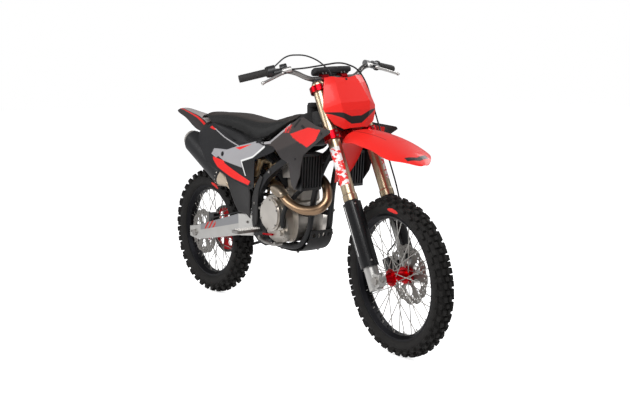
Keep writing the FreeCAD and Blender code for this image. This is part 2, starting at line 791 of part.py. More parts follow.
def disc(radius, y):
    """A brake disc: a band joined to a boss by arms."""
    low = y - disc_wall / 2
    high = y + disc_wall / 2
    inner = radius - disc_band
    points = []
    step = math.pi / (2 * disc_wave_count)
    for turn in range(4 * disc_wave_count):
        out = radius - disc_wave_depth if turn % 4 > 1 else radius
        points.append(Vector(out * math.cos(turn * step), low, out * math.sin(turn * step)))
    hole = bar_across(inner, 0, 0, low - overrun, high + overrun)
    band = facet(points).extrude(across * disc_wall).cut(hole)
    bore = disc_bore_radius
    boss_profile = [(bore, low), (disc_boss_radius, low), (disc_boss_radius, high), (bore, high)]
    parts = [band, turned_ring(boss_profile, Vector(), across)]
    for arm in range(disc_arm_count):
        start = disc_boss_radius - disc_band / 4
        length = inner + disc_band / 4 - start
        bar = Part.makeBox(length, disc_wall, disc_arm_width, Vector(start, low, -disc_arm_width / 2))
        bar.rotate(Vector(0, 0, 0), across, full_turn_deg * arm / disc_arm_count)
        parts.append(bar)
    return fused(parts)


def pitch_radius(teeth):
    """The radius of the circle on which a sprocket carries the chain's pins."""
    return chain_pitch / (2 * math.sin(math.pi / teeth))


def rear_sprocket():
    """The toothed ring bolted to the left of the rear hub."""
    root = pitch_radius(rear_teeth) - chain_pin_radius
    tip = pitch_radius(rear_teeth) + chain_pin_radius * tooth_height_share
    step = 2 * math.pi / rear_teeth
    points = []
    for tooth in range(rear_teeth):
        for share, radius in zip(tooth_turn_shares, (root, tip, tip, root)):
            angle = (tooth + share) * step
            aim = Vector(math.cos(angle), 0, math.sin(angle))
            points.append(aim * radius + across * (chain_y - sprocket_wall / 2))
    plate = facet(points).extrude(across * sprocket_wall)
    cuts = [bar_across(sprocket_bore_radius, 0, 0, 0, chain_y * 2)]
    middle = (sprocket_bore_radius + root) / 2
    for window in range(sprocket_window_count):
        angle = 2 * math.pi * window / sprocket_window_count
        x = middle * math.cos(angle)
        z = middle * math.sin(angle)
        cuts.append(bar_across(sprocket_window_radius, x, z, 0, chain_y * 2))
    return plate.cut(cuts[0].multiFuse(cuts[1:]))


def at_rear(shape):
    """Put a wheel piece on the rear axle."""
    return shape.translated(rear_axle)


def at_front(shape):
    """Put a wheel piece on the front axle, turned with the steering."""
    return steered(shape.translated(front_axle))


# The steering, drawn upright about its axis: x forward of the axis, z along it

def round_at(radius, x, y, low, high):
    """A round bar along the steering axis' direction."""
    return cylinder(radius, Vector(x, y, low), Vector(x, y, high))


def clamp(level, height, tube_fit):
    """One triple clamp with a ring round each fork tube and a boss on the stem."""
    ring = fork_outer_radius + clamp_ring_wall
    parts = [round_at(clamp_boss_radius, 0, 0, level, level + height)]
    for side in (-1, 1):
        y = side * clamp_half_spacing
        parts.append(round_at(ring, fork_offset, y, level, level + height))
    web = block(
        -clamp_web_width / 2, clamp_web_width / 2, -clamp_half_spacing, clamp_half_spacing,
        level, level + height,
    )
    web.translate(Vector(fork_offset / 2, 0, 0))
    parts.append(web)
    solid = fused(parts)
    for side in (-1, 1):
        y = side * clamp_half_spacing
        bore = fork_outer_radius + tube_fit
        solid = solid.cut(round_at(bore, fork_offset, y, level - overrun, level + height + overrun))
    return solid


def triple_clamps():
    """Both clamps on their stem, with the posts that hold the handlebar."""
    lower = clamp(lower_clamp_level, lower_clamp_height, running_fit)
    upper = clamp(upper_clamp_level, upper_clamp_height, running_fit)
    top = upper_clamp_level + upper_clamp_height
    parts = [lower, upper, round_at(stem_radius, 0, 0, lower_clamp_level, top + stem_radius)]
    for side in (-1, 1):
        y = side * bar_post_spacing / 2
        parts.append(round_at(bar_post_radius, bar_forward, y, top - overrun, bar_level))
        start = Vector(bar_forward, y - bar_clamp_width / 2, bar_level)
        parts.append(cylinder(bar_clamp_radius, start, start + across * bar_clamp_width))
    solid = fused(parts)
    bore = bar_centre_radius + running_fit
    start = Vector(bar_forward, -bar_post_spacing, bar_level)
    return solid.cut(cylinder(bore, start, start + across * 2 * bar_post_spacing))


def fork_outer(side):
    """One upper fork tube with its collar and cap."""
    profile = [
        (0, fork_outer_low), (fork_collar_radius, fork_outer_low),
        (fork_collar_radius, fork_outer_low + fork_collar_height),
        (fork_outer_radius, fork_outer_low + fork_collar_height + overrun),
        (fork_outer_radius, fork_outer_high),
        (fork_outer_radius - overrun, fork_outer_high + fork_cap_height),
        (0, fork_outer_high + fork_cap_height),
    ]
    base = Vector(fork_offset, side * clamp_half_spacing, 0)
    return turned_ring(profile, base, upward)


def fork_leg(side):
    """One lower fork tube with the cast foot that carries the axle."""
    y = side * clamp_half_spacing
    inner = round_at(fork_inner_radius, fork_offset, y, foot_low_level, fork_outer_low - seat_gap)
    boot = round_at(foot_radius, fork_offset, y, foot_low_level, foot_top_level)
    eye = bar_across(foot_eye_radius, axle_reach, 0, y - foot_lug_width / 2, y + foot_lug_width / 2)
    half = foot_lug_width / 2
    bridge = block(fork_offset, axle_reach, y - half, y + half, -foot_eye_radius, foot_eye_radius)
    solid = fused([inner, boot, eye, bridge])
    bore = axle_radius_front + running_fit
    solid = solid.cut(bar_across(bore, axle_reach, 0, y - foot_lug_width, y + foot_lug_width))
    face = side * (clamp_half_spacing + foot_lug_width / 2)
    head_room = axle_head_radius + seat_gap
    return solid.cut(bar_across(head_room, axle_reach, 0, min(face, face * 2), max(face, face * 2)))


def fork_guard(side):
    """One open moulded shield round the front of a lower fork tube."""
    inside = foot_radius + guard_gap
    height = guard_high_level - guard_low_level
    base = Vector(fork_offset, side * clamp_half_spacing, guard_low_level)
    outer = Part.makeCylinder(inside + guard_wall, height, base, upward, guard_open_deg)
    inner = Part.makeCylinder(inside, height, base, upward, guard_open_deg)
    collar_bore = foot_radius + seat_gap
    collar = Part.makeCylinder(inside + guard_wall / 2, guard_collar_height, base, upward, guard_open_deg)
    collar = collar.cut(Part.makeCylinder(collar_bore, guard_collar_height, base, upward))
    shell = fused([outer.cut(inner), collar])
    shell.rotate(base, upward, -guard_open_deg / 2 + side * guard_turn_deg)
    return shell


def wheel_axle(radius, x, z, half_length):
    """A through axle with a flanged head at each end."""
    parts = [bar_across(radius, x, z, -half_length, half_length)]
    parts.append(bar_across(axle_head_radius, x, z, -half_length - axle_head_width, -half_length))
    parts.append(bar_across(axle_head_radius, x, z, half_length, half_length + axle_head_width))
    return fused(parts)


def handlebar():
    """The tapered bar: thick at the clamp, bent up and back to the grips."""
    points = [stem_spot(x, y, z) for x, y, z in bar_route_shares]
    left = tube(points, bar_end_radius)
    right = mirrored(left)
    half = bar_route_shares[1][1] * body_half_width - bar_end_radius
    start = Vector(bar_forward, -half, bar_level)
    return fused([left, right, cylinder(bar_centre_radius, start, start + across * 2 * half)])


def bar_room():
    """The room that the bar takes in what slides over it."""
    points = [stem_spot(x, y, z) for x, y, z in bar_route_shares]
    return tube(points, bar_end_radius + running_fit)


def grip(side):
    """One grip with its flange, hollow where it slides over the bar."""
    end = stem_spot(*bar_route_shares[-1])
    root = stem_spot(*bar_route_shares[-2])
    run = (end - root).normalize()
    start = end + run * seat_gap * 2 - run * grip_length
    body = cylinder(grip_radius, start, end + run * grip_flange_width)
    flange = cylinder(grip_flange_radius, start, start + run * grip_flange_width)
    solid = fused([body, flange]).cut(bar_room())
    return solid if side > 0 else mirrored(solid)


def bar_pad():
    """The soft pad that covers the middle of the bar."""
    low = bar_level + bar_centre_radius + seat_gap
    sections = []
    for y_share, size_share in pad_end_shares:
        points = []
        for turn in range(8):
            angle = (turn + 0.5) * math.pi / 4
            x = bar_forward + pad_depth / 2 * size_share * math.cos(angle)
            z = low + pad_height / 2 + pad_height / 2 * size_share * math.sin(angle)
            points.append(Vector(x, y_share * pad_length, z))
        sections.append(Part.makePolygon(points + points[:1]))
    start = Vector(bar_forward, -pad_length, bar_level)
    clamps = cylinder(bar_clamp_radius + seat_gap, start, start + across * 2 * pad_length)
    return loft(sections, True).cut(clamps)


def arched(stations, wall_step, place_of):
    """A thin arched sheet through stations of (x, half width, crown, edge) shares."""
    sections = []
    for x, half, crown, edge in stations:
        points = []
        for side in (-1.0, -0.72, 0.0, 0.72, 1.0):
            drop = abs(side) ** 3 * (crown - edge)
            points.append(place_of(x, side * half, crown - drop))
        sections.append(strip_section(points, [wall_step] * len(points)))
    return loft(sections)


def front_fender():
    """The long front fender with its tongue behind the fork."""
    blade = arched(fender_shares, upward * -fender_wall, stem_spot)
    tongue = arched(tongue_shares, upward * -fender_wall, stem_spot)
    low, high = (stem_spot(*place) for place in fender_mount_shares)
    top = lower_clamp_level - seat_gap
    mount = block(low.x, high.x, low.y, high.y, low.z, top)
    return fused([blade, tongue, mount])


def number_plate():
    """The faceted plate in front of the bar, hollow behind."""
    sections = []
    for level, half, edge, ridge in plate_shares:
        front = [stem_spot(edge, -half, level), stem_spot(ridge, -half * plate_ridge_share, level)]
        front += [stem_spot(ridge, half * plate_ridge_share, level), stem_spot(edge, half, level)]
        back = [point - Vector(plate_wall, 0, 0) for point in front[::-1]]
        sections.append(Part.makePolygon(front + back + front[:1]))
    plate = loft(sections, True)
    notch_place = stem_spot(0, 0, plate_shares[0][0]) + upward * notch_rise
    notch = cylinder(notch_radius, notch_place, notch_place + Vector(body_half_width * 2, 0, 0))
    low, high = (stem_spot(*place) for place in plate_strap_shares)
    boss = round_at(clamp_boss_radius + seat_gap, 0, 0, lower_clamp_level, bar_level)
    strap = block(low.x, high.x, low.y, high.y, low.z, high.z).cut(boss)
    return fused([plate.cut(notch), strap])


def bar_fittings(side):
    """Control housing, cylinder or perch, and lever on one end of the bar."""
    end = stem_spot(*bar_route_shares[-1])
    root = stem_spot(*bar_route_shares[-2])
    run = (end - root).normalize()
    start = end - run * (grip_length + housing_width)
    size_share = 1 if side < 0 else perch_share
    housing = cylinder(housing_radius * size_share, start, start + run * housing_width)
    droop = math.radians(lever_droop_deg)
    aim = Vector(math.cos(droop), 0, -math.sin(droop))
    inner = start - run * (master_length / 2)
    master_start = inner + aim * (housing_radius + overrun) - run * master_length / 4
    barrel_radius = master_radius * size_share
    master = cylinder(barrel_radius, master_start, master_start + run * master_length)
    stem = cylinder(barrel_radius, inner, inner + aim * (housing_radius + overrun))
    collar_radius = housing_radius * size_share - overrun * size_share
    collar = cylinder(collar_radius, inner - run * master_radius, inner + run * master_radius)
    pivot = master_start + run * master_length * lever_start_share
    lever_end = pivot + run * lever_length + aim * (lever_tip_reach - housing_radius - overrun)
    knuckle = pivot + aim * (master_radius + lever_radius)
    lever = cylinder(lever_radius, knuckle, lever_end)
    shank = cylinder(lever_radius, pivot, knuckle)
    ball = Part.makeSphere(lever_ball_radius, lever_end)
    joint = Part.makeSphere(lever_ball_radius, knuckle)
    solid = fused([housing, master, stem, collar, lever, shank, ball, joint])
    solid = solid.cut(bar_room())
    return solid if side > 0 else mirrored(solid)


def front_caliper():
    """The brake caliper behind the left fork foot, open over the disc."""
    x = axle_reach - front_disc_radius * front_caliper_shares[0]
    z = front_disc_radius * front_caliper_shares[1]
    body = caliper_body(x, z, front_disc_y).cut(
        bar_across(front_disc_radius + overrun, axle_reach, 0, *caliper_slot_sides(front_disc_y)))
    outer = front_disc_y + caliper_width / 2 - overrun
    inner = front_disc_y + caliper_slot / 2
    rise = caliper_length * caliper_bracket_share / 2
    bracket = block(x, fork_offset, inner, outer, z - rise, z + rise)
    foot = round_at(foot_radius + seat_gap, fork_offset, clamp_half_spacing, foot_low_level, foot_top_level)
    return fused([body, bracket.cut(foot)])


def caliper_body(x, z, y):
    """The block of a caliper round a place on its disc."""
    return block(
        x - caliper_depth / 2, x + caliper_depth / 2, y - caliper_width / 2 + overrun,
        y + caliper_width / 2 - overrun, z - caliper_length / 2, z + caliper_length / 2,
    )


def caliper_slot_sides(y):
    """The two sides of the slot that a disc runs in."""
    return y - caliper_slot / 2, y + caliper_slot / 2


# The chassis


def main_frame():
    """Head tube, two spars that splay round the tank, pivot plates and pivot bolt."""
    head = raked(round_at(head_tube_radius, 0, 0, head_low_level, head_high_level))
    bore = raked(round_at(stem_radius + running_fit, 0, 0, lower_clamp_level, upper_clamp_level))
    spar = box_tube([spot(*place) for place in spar_route_shares], spar_width, spar_depth)
    plate = side_plate(pivot_plate_shares, -pivot_plate_y - pivot_plate_wall, -pivot_plate_y)
    half = fused([spar, plate])
    bolt = bar_across(pivot_bolt_radius, pivot_x, pivot_z, -pivot_plate_y - overrun, pivot_plate_y + overrun)
    beam_y = body_half_width
    beam = bar_across(cross_beam_radius, cross_beam_x, cross_beam_z, -beam_y, beam_y)
    eye = spot(*shock_top_shares)
    inner = shock_eye_width / 2 + seat_gap
    parts = [head, half, mirrored(half), bolt, beam]
    for low in (-inner - link_wall, inner):
        parts.append(side_plate(shock_mount_shares, low, low + link_wall))
    parts.append(bar_across(shock_rod_radius, eye.x, eye.z, -inner - link_wall, inner + link_wall))
    return fused(parts).cut(bore)


def frame_cradle():
    """Twin down tubes that run under the engine to the pivot plates."""
    head = round_at(head_tube_radius + seat_gap, 0, 0, head_low_level, head_high_level)
    boss = round_at(clamp_boss_radius + overrun, 0, 0, lower_clamp_level, head_low_level)
    right = down_tube(cradle_tube_radius).cut(raked(fused([head, boss])))
    low, high = (spot(*place) for place in engine_mount_shares)
    mount = block(low.x, high.x, low.y, high.y, low.z, high.z)
    right = fused([right, mount.cut(middle_case().translated(Vector(seat_gap, 0, 0)))])
    return Part.makeCompound([right, mirrored(right)])


def upper_rail(radius):
    """The right upper tube of the subframe, or the room that it takes."""
    return tube([spot(*place) for place in upper_rail_shares], radius)


def lower_rail(radius):
    """The right lower tube of the subframe, or the room that it takes."""
    return tube([spot(*place) for place in lower_rail_shares], radius)


def down_tube(radius):
    """The right down tube of the cradle, or the room that it takes."""
    return tube([spot(*place) for place in down_tube_shares], radius)


def subframe():
    """The light tubes behind the main frame that carry the seat."""
    upper = upper_rail(subframe_tube_radius)
    lower = lower_rail(subframe_tube_radius)
    cross = cylinder(subframe_tube_radius, spot(*upper_rail_shares[3]), mirrored_spot(upper_rail_shares[3]))
    right = fused([upper, lower])
    return fused([right, mirrored(right), cross])


def arm_section(x, low, high, inner, outer):
    """A cross-section of the right arm."""
    corners = [spot(x, -inner, low), spot(x, -outer, low), spot(x, -outer, high), spot(x, -inner, high)]
    return Part.makePolygon(corners + corners[:1])


def chain_room():
    """The space round the chain that the arm keeps clear."""
    reach = chain_plate_height / 2 + chain_clearance
    low = chain_y - chain_inner_width / 2 - chain_plate_wall - chain_clearance
    ring = belt_face(reach, low).cut(belt_face(-reach, low))
    return ring.extrude(across * (arm_inner_y - low))


def swingarm():
    """Two tapered arms, the bridge between them, the shock's lugs and the pivot boss."""
    arm = loft([arm_section(*station) for station in arm_stations_shares], True)
    bore = bar_across(axle_radius_rear + running_fit, 0, rear_tyre_radius, -body_half_width * 2, 0)
    arm = arm.cut(bore)
    left = mirrored(arm).cut(chain_room())
    (x_low, z_low), (x_high, z_high) = (side_place(corner) for corner in bridge_shares)
    bridge = block(x_low, x_high, -arm_inner_y, arm_inner_y, z_low, z_high)
    boss = bar_across(boss_radius, pivot_x, pivot_z, -arm_inner_y, arm_inner_y).cut(chain_room())
    parts = [arm, left, bridge.cut(chain_room()), boss]
    eye = spot(*shock_low_shares)
    inner = shock_eye_width / 2 + seat_gap
    for low in (-inner - link_wall, inner):
        parts.append(side_plate(link_shares, low, low + link_wall))
    parts.append(bar_across(shock_rod_radius, eye.x, eye.z, -inner - link_wall, inner + link_wall))
    pivot_bore = bar_across(
        pivot_bolt_radius + running_fit, pivot_x, pivot_z, -body_half_width * 2, body_half_width * 2,
    )
    return fused(parts).cut(pivot_bore)


def countershaft():
    """The centre of the small sprocket, where a whole number of links fits."""
    x, z = side_place(countershaft_shares)
    wanted = Vector(x, 0, z) - rear_axle
    half_teeth = (rear_teeth + front_teeth) / 2
    around = (rear_teeth - front_teeth) / (2 * math.pi)
    slack = half_teeth + around ** 2 * chain_pitch / wanted.Length
    chain_links = 2 * round((2 * wanted.Length / chain_pitch + slack) / 2)
    straight = (chain_links - half_teeth) * chain_pitch / 2
    span = (straight + math.sqrt(straight ** 2 - 2 * (around * chain_pitch) ** 2)) / 2
    return rear_axle + wanted.normalize() * span


def belt_turns():
    """The turns at which the chain's upper and lower runs leave both sprockets."""
    run = countershaft() - rear_axle
    slope = math.asin((pitch_radius(rear_teeth) - pitch_radius(front_teeth)) / run.Length)
    tilt = math.atan2(run.z, run.x)
    return tilt + right_angle - slope, tilt - right_angle + slope


def belt_face(extra, y):
    """The area inside a loop round both sprockets, a little out from the pins."""
    upper, lower = belt_turns()
    points = []
    ends = (
        (countershaft(), pitch_radius(front_teeth), lower, upper, front_teeth),
        (rear_axle, pitch_radius(rear_teeth), upper, lower + 2 * math.pi, rear_teeth),
    )
    for centre, radius, first, last, teeth in ends:
        steps = math.ceil((last - first) / (2 * math.pi) * teeth)
        for step in range(steps + 1):
            turn = first + (last - first) * step / steps
            aim = Vector(math.cos(turn), 0, math.sin(turn))
            points.append(centre + aim * (radius + extra) + across * y)
    return facet(points)


def chain():
    """The chain's two rows of side plates, joined by pins on its free runs."""
    parts = []
    for side in (-1, 1):
        low = chain_y + side * (chain_inner_width + chain_plate_wall) / 2 - chain_plate_wall / 2
        outer = belt_face(chain_plate_height / 2, low)
        inner = belt_face(-chain_plate_height / 2, low)
        parts.append(outer.cut(inner).extrude(across * chain_plate_wall))
    for turn in belt_turns():
        aim = Vector(math.cos(turn), 0, math.sin(turn))
        start = rear_axle + aim * pitch_radius(rear_teeth)
        end = countershaft() + aim * pitch_radius(front_teeth)
        count = int((end - start).Length / chain_pitch / 2)
        for pin in range(chain_end_pins, count + 1 - chain_end_pins):
            parts.append(roller(start + (end - start) * (pin / count), (end - start).normalize()))
    return fused(parts)


def roller(place, run):
    """One six-sided roller between the chain's side plates."""
    low = across * (chain_y - chain_inner_width / 2 - chain_plate_wall / 2)
    width = across * (chain_inner_width + chain_plate_wall)
    rise = across.cross(run)
    points = []
    for turn in range(6):
        angle = math.radians(turn * full_turn_deg / 6)
        points.append(place + low + (run * math.cos(angle) + rise * math.sin(angle)) * chain_pin_radius)
    return facet(points).extrude(width)


def front_sprocket():
    """The small sprocket on its shaft beside the engine."""
    root = pitch_radius(front_teeth) - chain_pin_radius
    centre = countershaft()
    half = sprocket_wall / 2
    case_face = case_half_width * left_case_share + seat_gap
    wheel = bar_across(root, centre.x, centre.z, chain_y - half, chain_y + half)
    shaft = bar_across(axle_radius_rear, centre.x, centre.z, case_face, chain_y + half + sprocket_wall)
    return fused([wheel, shaft])


def chain_guide():
    """The block under the left arm that keeps the lower run in line."""
    guide = side_plate(guide_shares, chain_y - guide_half_width, arm_inner_y - seat_gap)
    tunnel = side_plate(guide_tunnel_shares, chain_y - guide_half_width + overrun, arm_inner_y - overrun)
    return guide.cut(tunnel)


def rear_caliper():
    """The brake caliper and its bracket ahead of the rear disc."""
    x = rear_disc_radius * rear_caliper_shares[0]
    z = rear_tyre_radius + rear_disc_radius * rear_caliper_shares[1]
    slot = bar_across(rear_disc_radius + overrun, 0, rear_tyre_radius, *caliper_slot_sides(rear_disc_y))
    rise = rear_disc_radius * rear_caliper_shares[2]
    bracket = block(
        x - caliper_depth / 4, x + caliper_depth / 4, seat_gap - arm_inner_y,
        rear_disc_y - caliper_slot / 2, rear_tyre_radius + overrun, rear_tyre_radius + rise,
    )
    return fused([caliper_body(x, z, rear_disc_y).cut(slot), bracket])


def rear_shock():
    """Shock body, rod, eyes and spring plates, with its reservoir on a bridge."""
    top = spot(*shock_top_shares)
    low = spot(*shock_low_shares)
    run = (low - top).normalize()
    length = (low - top).Length
    neck = top + run * length * shock_neck_share
    parts = [cylinder(shock_neck_radius, top, neck)]
    parts.append(cylinder(shock_body_radius, neck, top + run * length * shock_body_share))
    parts.append(cylinder(shock_rod_radius, top + run * length * shock_body_share, low))
    for eye in (top, low):
        parts.append(bar_across(shock_eye_radius, eye.x, eye.z, -shock_eye_width / 2, shock_eye_width / 2))
    for share in (spring_top_share, spring_low_share):
        place = top + run * length * share
        parts.append(cylinder(spring_radius + spring_wire, place, place + run * spring_wire))
    tank_top = spot(*reservoir_shares[0])
    tank_low = spot(*reservoir_shares[1])
    parts.append(cylinder(reservoir_radius, tank_top, tank_low))
    bridge_at = top + run * length * bridge_share
    parts.append(cylinder(bridge_radius, bridge_at, tank_top + (tank_low - tank_top) * bridge_end_share))
    bore = shock_rod_radius + running_fit
    solid = fused(parts)
    for eye in (top, low):
        solid = solid.cut(bar_across(bore, eye.x, eye.z, -shock_eye_width, shock_eye_width))
    return solid


def shock_spring():
    """The coil between the shock's two plates."""
    top = spot(*shock_top_shares)
    low = spot(*shock_low_shares)
    run = (low - top).normalize()
    length = (low - top).Length
    start = top + run * (length * spring_top_share + spring_wire + seat_gap + spring_wire)
    end = top + run * (length * spring_low_share - seat_gap - spring_wire)
    height = (end - start).Length
    helix = Part.makeHelix(height / spring_turns, height, spring_radius)
    section = Part.Wire(Part.makeCircle(spring_wire, Vector(spring_radius, 0, 0), across))
    coil = Part.Wire(helix.Edges).makePipeShell([section], True, True)
    coil.Placement = FreeCAD.Placement(start, FreeCAD.Rotation(upward, run))
    return coil


# The engine


def middle_case():
    """The crankcase and gearbox halves, between their covers."""
    return smooth_side_plate(case_shares, -case_half_width, case_half_width * left_case_share)


def engine_cases():
    """The crankcase and gearbox in one casting, with its right-hand side case."""
    middle = middle_case()
    right = smooth_side_plate(right_case_shares, clutch_case_y, -case_half_width)
    x, z = side_place(pump_shares)
    pump = bar_across(pump_radius, x, z, pump_face_y, -case_half_width)
    neck = bar_across(pump_radius / 2, x, z, pump_face_y - pump_radius / 2, -case_half_width)
    return fused([middle, right, pump, neck])


def engine_covers():
    """The round clutch cover on the right and the ignition cover on the left."""
    rim_step = clutch_radius * cover_step_share
    y = clutch_case_y - seat_gap
    right = bar_across(clutch_radius, clutch_x, clutch_z, clutch_face_y + rim_step, y)
    face = bar_across(clutch_radius - rim_step, clutch_x, clutch_z, clutch_face_y, y)
    left_start = case_half_width * left_case_share + seat_gap
    left = bar_across(ignition_radius, ignition_x, ignition_z, left_start, ignition_face_y - rim_step)
    left_face = bar_across(ignition_radius - rim_step, ignition_x, ignition_z, left_start, ignition_face_y)
    return Part.makeCompound([fused([right, face]), fused([left, left_face])])


def engine_top_end():
    """Cylinder, head and cam cover, leaning a little back."""
    joint = head_foot_z - cylinder_foot_z
    top = head_top_z - cylinder_foot_z
    sizes = [
        (cylinder_length, cylinder_width, -barrel_skirt, joint * barrel_waist_share),
        (cylinder_length * waist_share, cylinder_width * waist_share, 0, joint),
        (head_length, head_width, joint, joint + (top - joint) * cam_cover_share),
        (head_length * waist_share, head_width * waist_share, joint, top),
    ]
    parts = [block(-long / 2, long / 2, -wide / 2, wide / 2, low, high) for long, wide, low, high in sizes]
    plug = cylinder(plug_tube_radius, Vector(0, 0, joint), Vector(0, 0, top + overrun))
    solid = fused(parts + [plug])
    solid = solid.makeFillet(casting_fillet, upright_edges(solid))
    solid.rotate(Vector(0, 0, 0), across, cylinder_lean_deg)
    rise = cylinder_length * abs(math.sin(math.radians(cylinder_lean_deg))) / 2
    solid.translate(Vector(cylinder_x, 0, cylinder_foot_z + rise))
    return solid.cut(middle_case().translated(upward * seat_gap))


def upright_edges(solid):
    """The straight edges of a solid that stand upright."""
    found = []
    for edge in solid.Edges:
        run = edge.lastVertex().Point - edge.firstVertex().Point
        if isinstance(edge.Curve, Part.Line) and abs(run.z) > casting_fillet:
            found.append(edge)
    return found


def exhaust_header():
    """The bronze pipe that loops ahead of the engine and back along its right side."""
    mouth, run = muffler_mouth()
    points = [spot(*place) for place in header_shares]
    return tube(points + [mouth + run * muffler_nose_length, mouth + run * seat_gap], pipe_radius)


def muffler_mouth():
    """Where the pipe enters the silencer, and the silencer's direction there."""
    rear = spot(*muffler_rear_shares)
    front = spot(*muffler_front_shares)
    run = (front - rear).normalize()
    return front + run * muffler_nose_length, run


def oval_section(centre, run, height, width):
    """An oval across a run, its width across the bike."""
    rise = across.cross(run).normalize()
    points = []
    for turn in range(8):
        angle = turn * math.pi / 4
        place = centre + across * (width / 2 * math.cos(angle))
        points.append(place + rise * (height / 2 * math.sin(angle)))
    return smooth_section(points)


def muffler():
    """The oval silencer with its end caps and outlet."""
    rear = spot(*muffler_rear_shares)
    front = spot(*muffler_front_shares)
    run = (front - rear).normalize()
    rear_oval = oval_section(rear, run, muffler_height, muffler_width)
    front_oval = oval_section(front, run, muffler_height, muffler_width)
    pipe_end = oval_section(muffler_mouth()[0], run, pipe_radius * 2, pipe_radius * 2)
    cap_end = rear - run * muffler_cap_length
    high_share, wide_share = muffler_cap_shares
    cap_oval = oval_section(cap_end, run, muffler_height * high_share, muffler_width * wide_share)
    parts = [loft([rear_oval, front_oval]), loft([front_oval, pipe_end]), loft([rear_oval, cap_oval])]
    parts.append(cylinder(muffler_outlet_radius, rear, cap_end - run * overrun))
    mouth = cap_end - run * overrun * 2
    bore = cylinder(muffler_outlet_radius - rim_wall / 2, rear - run * muffler_cap_length / 2, mouth)
    return fused(parts).cut(bore)


def radiators():
    """The two radiators behind their louvres."""
    inner = -radiator_inner_share * body_half_width
    outer = -radiator_outer_share * body_half_width
    core = side_plate(radiator_shares, outer, inner)
    pitch = (inner - outer - rim_wall) / louvre_count
    for slot in range(louvre_count):
        start = outer + rim_wall + slot * pitch
        core = core.cut(side_plate(louvre_shares, start, start + pitch - rim_wall))
    parts = [core]
    room = down_tube(cradle_tube_radius + seat_gap)
    for place in radiator_bracket_shares:
        centre = spot(*place)
        parts.append(cylinder(mount_radius, centre, Vector(centre.x, inner, centre.z)).cut(room))
    right = fused(parts)
    return Part.makeCompound([right, mirrored(right)])


# Seat, tank and panels


def crowned_section(x, half, top, low):
    """A rounded section with a crowned top and sides that lean in."""
    right = [(side, low + (top - low) * rise) for side, rise in crown_shares]
    left = [(-side, level) for side, level in right[::-1]]
    points = [spot(x, side * half, level) for side, level in [(0.0, top)] + right + [(0.0, low)] + left]
    return Part.makePolygon(points + points[:1])


def seat():
    """The long narrow saddle that runs up on to the tank."""
    saddle = loft([crowned_section(*station) for station in seat_shares])
    rails = upper_rail(subframe_tube_radius + seat_gap)
    low, high = (spot(*place) for place in seat_foot_shares)
    foot = block(low.x, high.x, low.y, high.y, low.z, high.z).cut(rails)
    return fused([saddle, foot, mirrored(foot)])


def fuel_tank():
    """The tank between seat and steering head, with its cap."""
    body = loft([crowned_section(*station) for station in tank_shares])
    body = body.cut(fused([seat_block(), spar_block(), head_room()]))
    cap_at = spot(0.895, 0, 0.985)
    cap = cylinder(tank_cap_radius, cap_at, cap_at + upward * tank_cap_height)
    return fused([body, cap])


def seat_block():
    """The room that the seat takes in the tank's top."""
    wider, higher, lower = seat_room_shares
    grown = [(x, half + wider, top + higher, low - lower) for x, half, top, low in seat_shares]
    return loft([crowned_section(*station) for station in grown])


def spar_block():
    """The room that the spars take beside the tank."""
    route = [spot(*place) for place in spar_route_shares]
    spar = box_tube(route, spar_width + 2 * seat_gap, spar_depth + 2 * seat_gap)
    return fused([spar, mirrored(spar)])


def head_room():
    """The room round the steering head, for the fork to swing in."""
    radius = clamp_half_spacing + fork_outer_radius + clamp_ring_wall + overrun
    top = upper_clamp_level + 2 * upper_clamp_height
    return raked(round_at(radius, 0, 0, lower_clamp_level - overrun, top))


def skin(stations, outline, wall):
    """A thin curved panel cut to an outline that shows from the side."""
    sections = []
    for x, places in stations:
        points = [spot(x, -y, z) for y, z in places]
        sections.append(strip_section(points, [across * wall] * len(points)))
    sheet = loft(sections)
    return sheet.common(side_plate(outline, -wheelbase, 0))


def shrouds():
    """The pair of flared panels beside the tank that lead air to the radiators."""
    sheet = skin(shroud_skin_shares, shroud_outline_shares, panel_wall)
    inner = skin(shroud_skin_shares, shroud_outline_shares, mount_depth)
    place = spot(*shroud_mount_shares)
    start = Vector(place.x, -radiator_outer_share * body_half_width - seat_gap, place.z)
    post = cylinder(mount_radius, start, start - across * mount_depth).common(inner)
    right = fused([sheet, post])
    return Part.makeCompound([right, mirrored(right)])


def side_panels():
    """The side panels below the seat; the right one covers the silencer's front."""
    sheet = skin(side_skin_shares, side_outline_shares, panel_wall)
    inner = skin(side_skin_shares, side_outline_shares, mount_depth * 4)
    rails = fused([upper_rail(subframe_tube_radius + seat_gap), lower_rail(subframe_tube_radius + seat_gap)])
    parts = [sheet]
    for place in side_mount_shares:
        centre = spot(*place)
        post = cylinder(mount_radius, centre, centre - across * body_half_width).common(inner)
        parts.append(post.cut(rails))
    right = fused(parts)
    return Part.makeCompound([right, mirrored(right)])


def rear_fender():
    """The tail that rises behind the seat."""
    sheet = arched(tail_shares, upward * -fender_wall, spot)
    below = arched(tail_shares, upward * -tail_mount_depth, spot)
    rails = upper_rail(subframe_tube_radius + seat_gap)
    parts = [sheet]
    for side in (-1, 1):
        place = spot(tail_mount_shares[0], side * tail_mount_shares[1], tail_mount_shares[2])
        post = cylinder(mount_radius, place, place + upward * tail_mount_depth)
        rail = rails if side < 0 else mirrored(rails)
        parts.append(post.common(below).cut(rail))
    return fused(parts)


def airbox():
    """The dark box under the seat that feeds the engine, with the mud flap below it."""
    parts = [
        side_plate(airbox_shares, -airbox_half_width, airbox_half_width),
        side_plate(flap_shares, -flap_half_width, flap_half_width),
    ]
    place = spot(*airbox_lug_shares)
    rail = lower_rail(subframe_tube_radius + seat_gap)
    lug = cylinder(mount_radius, place, Vector(place.x, overrun - airbox_half_width, place.z)).cut(rail)
    return fused(parts + [lug, mirrored(lug)])


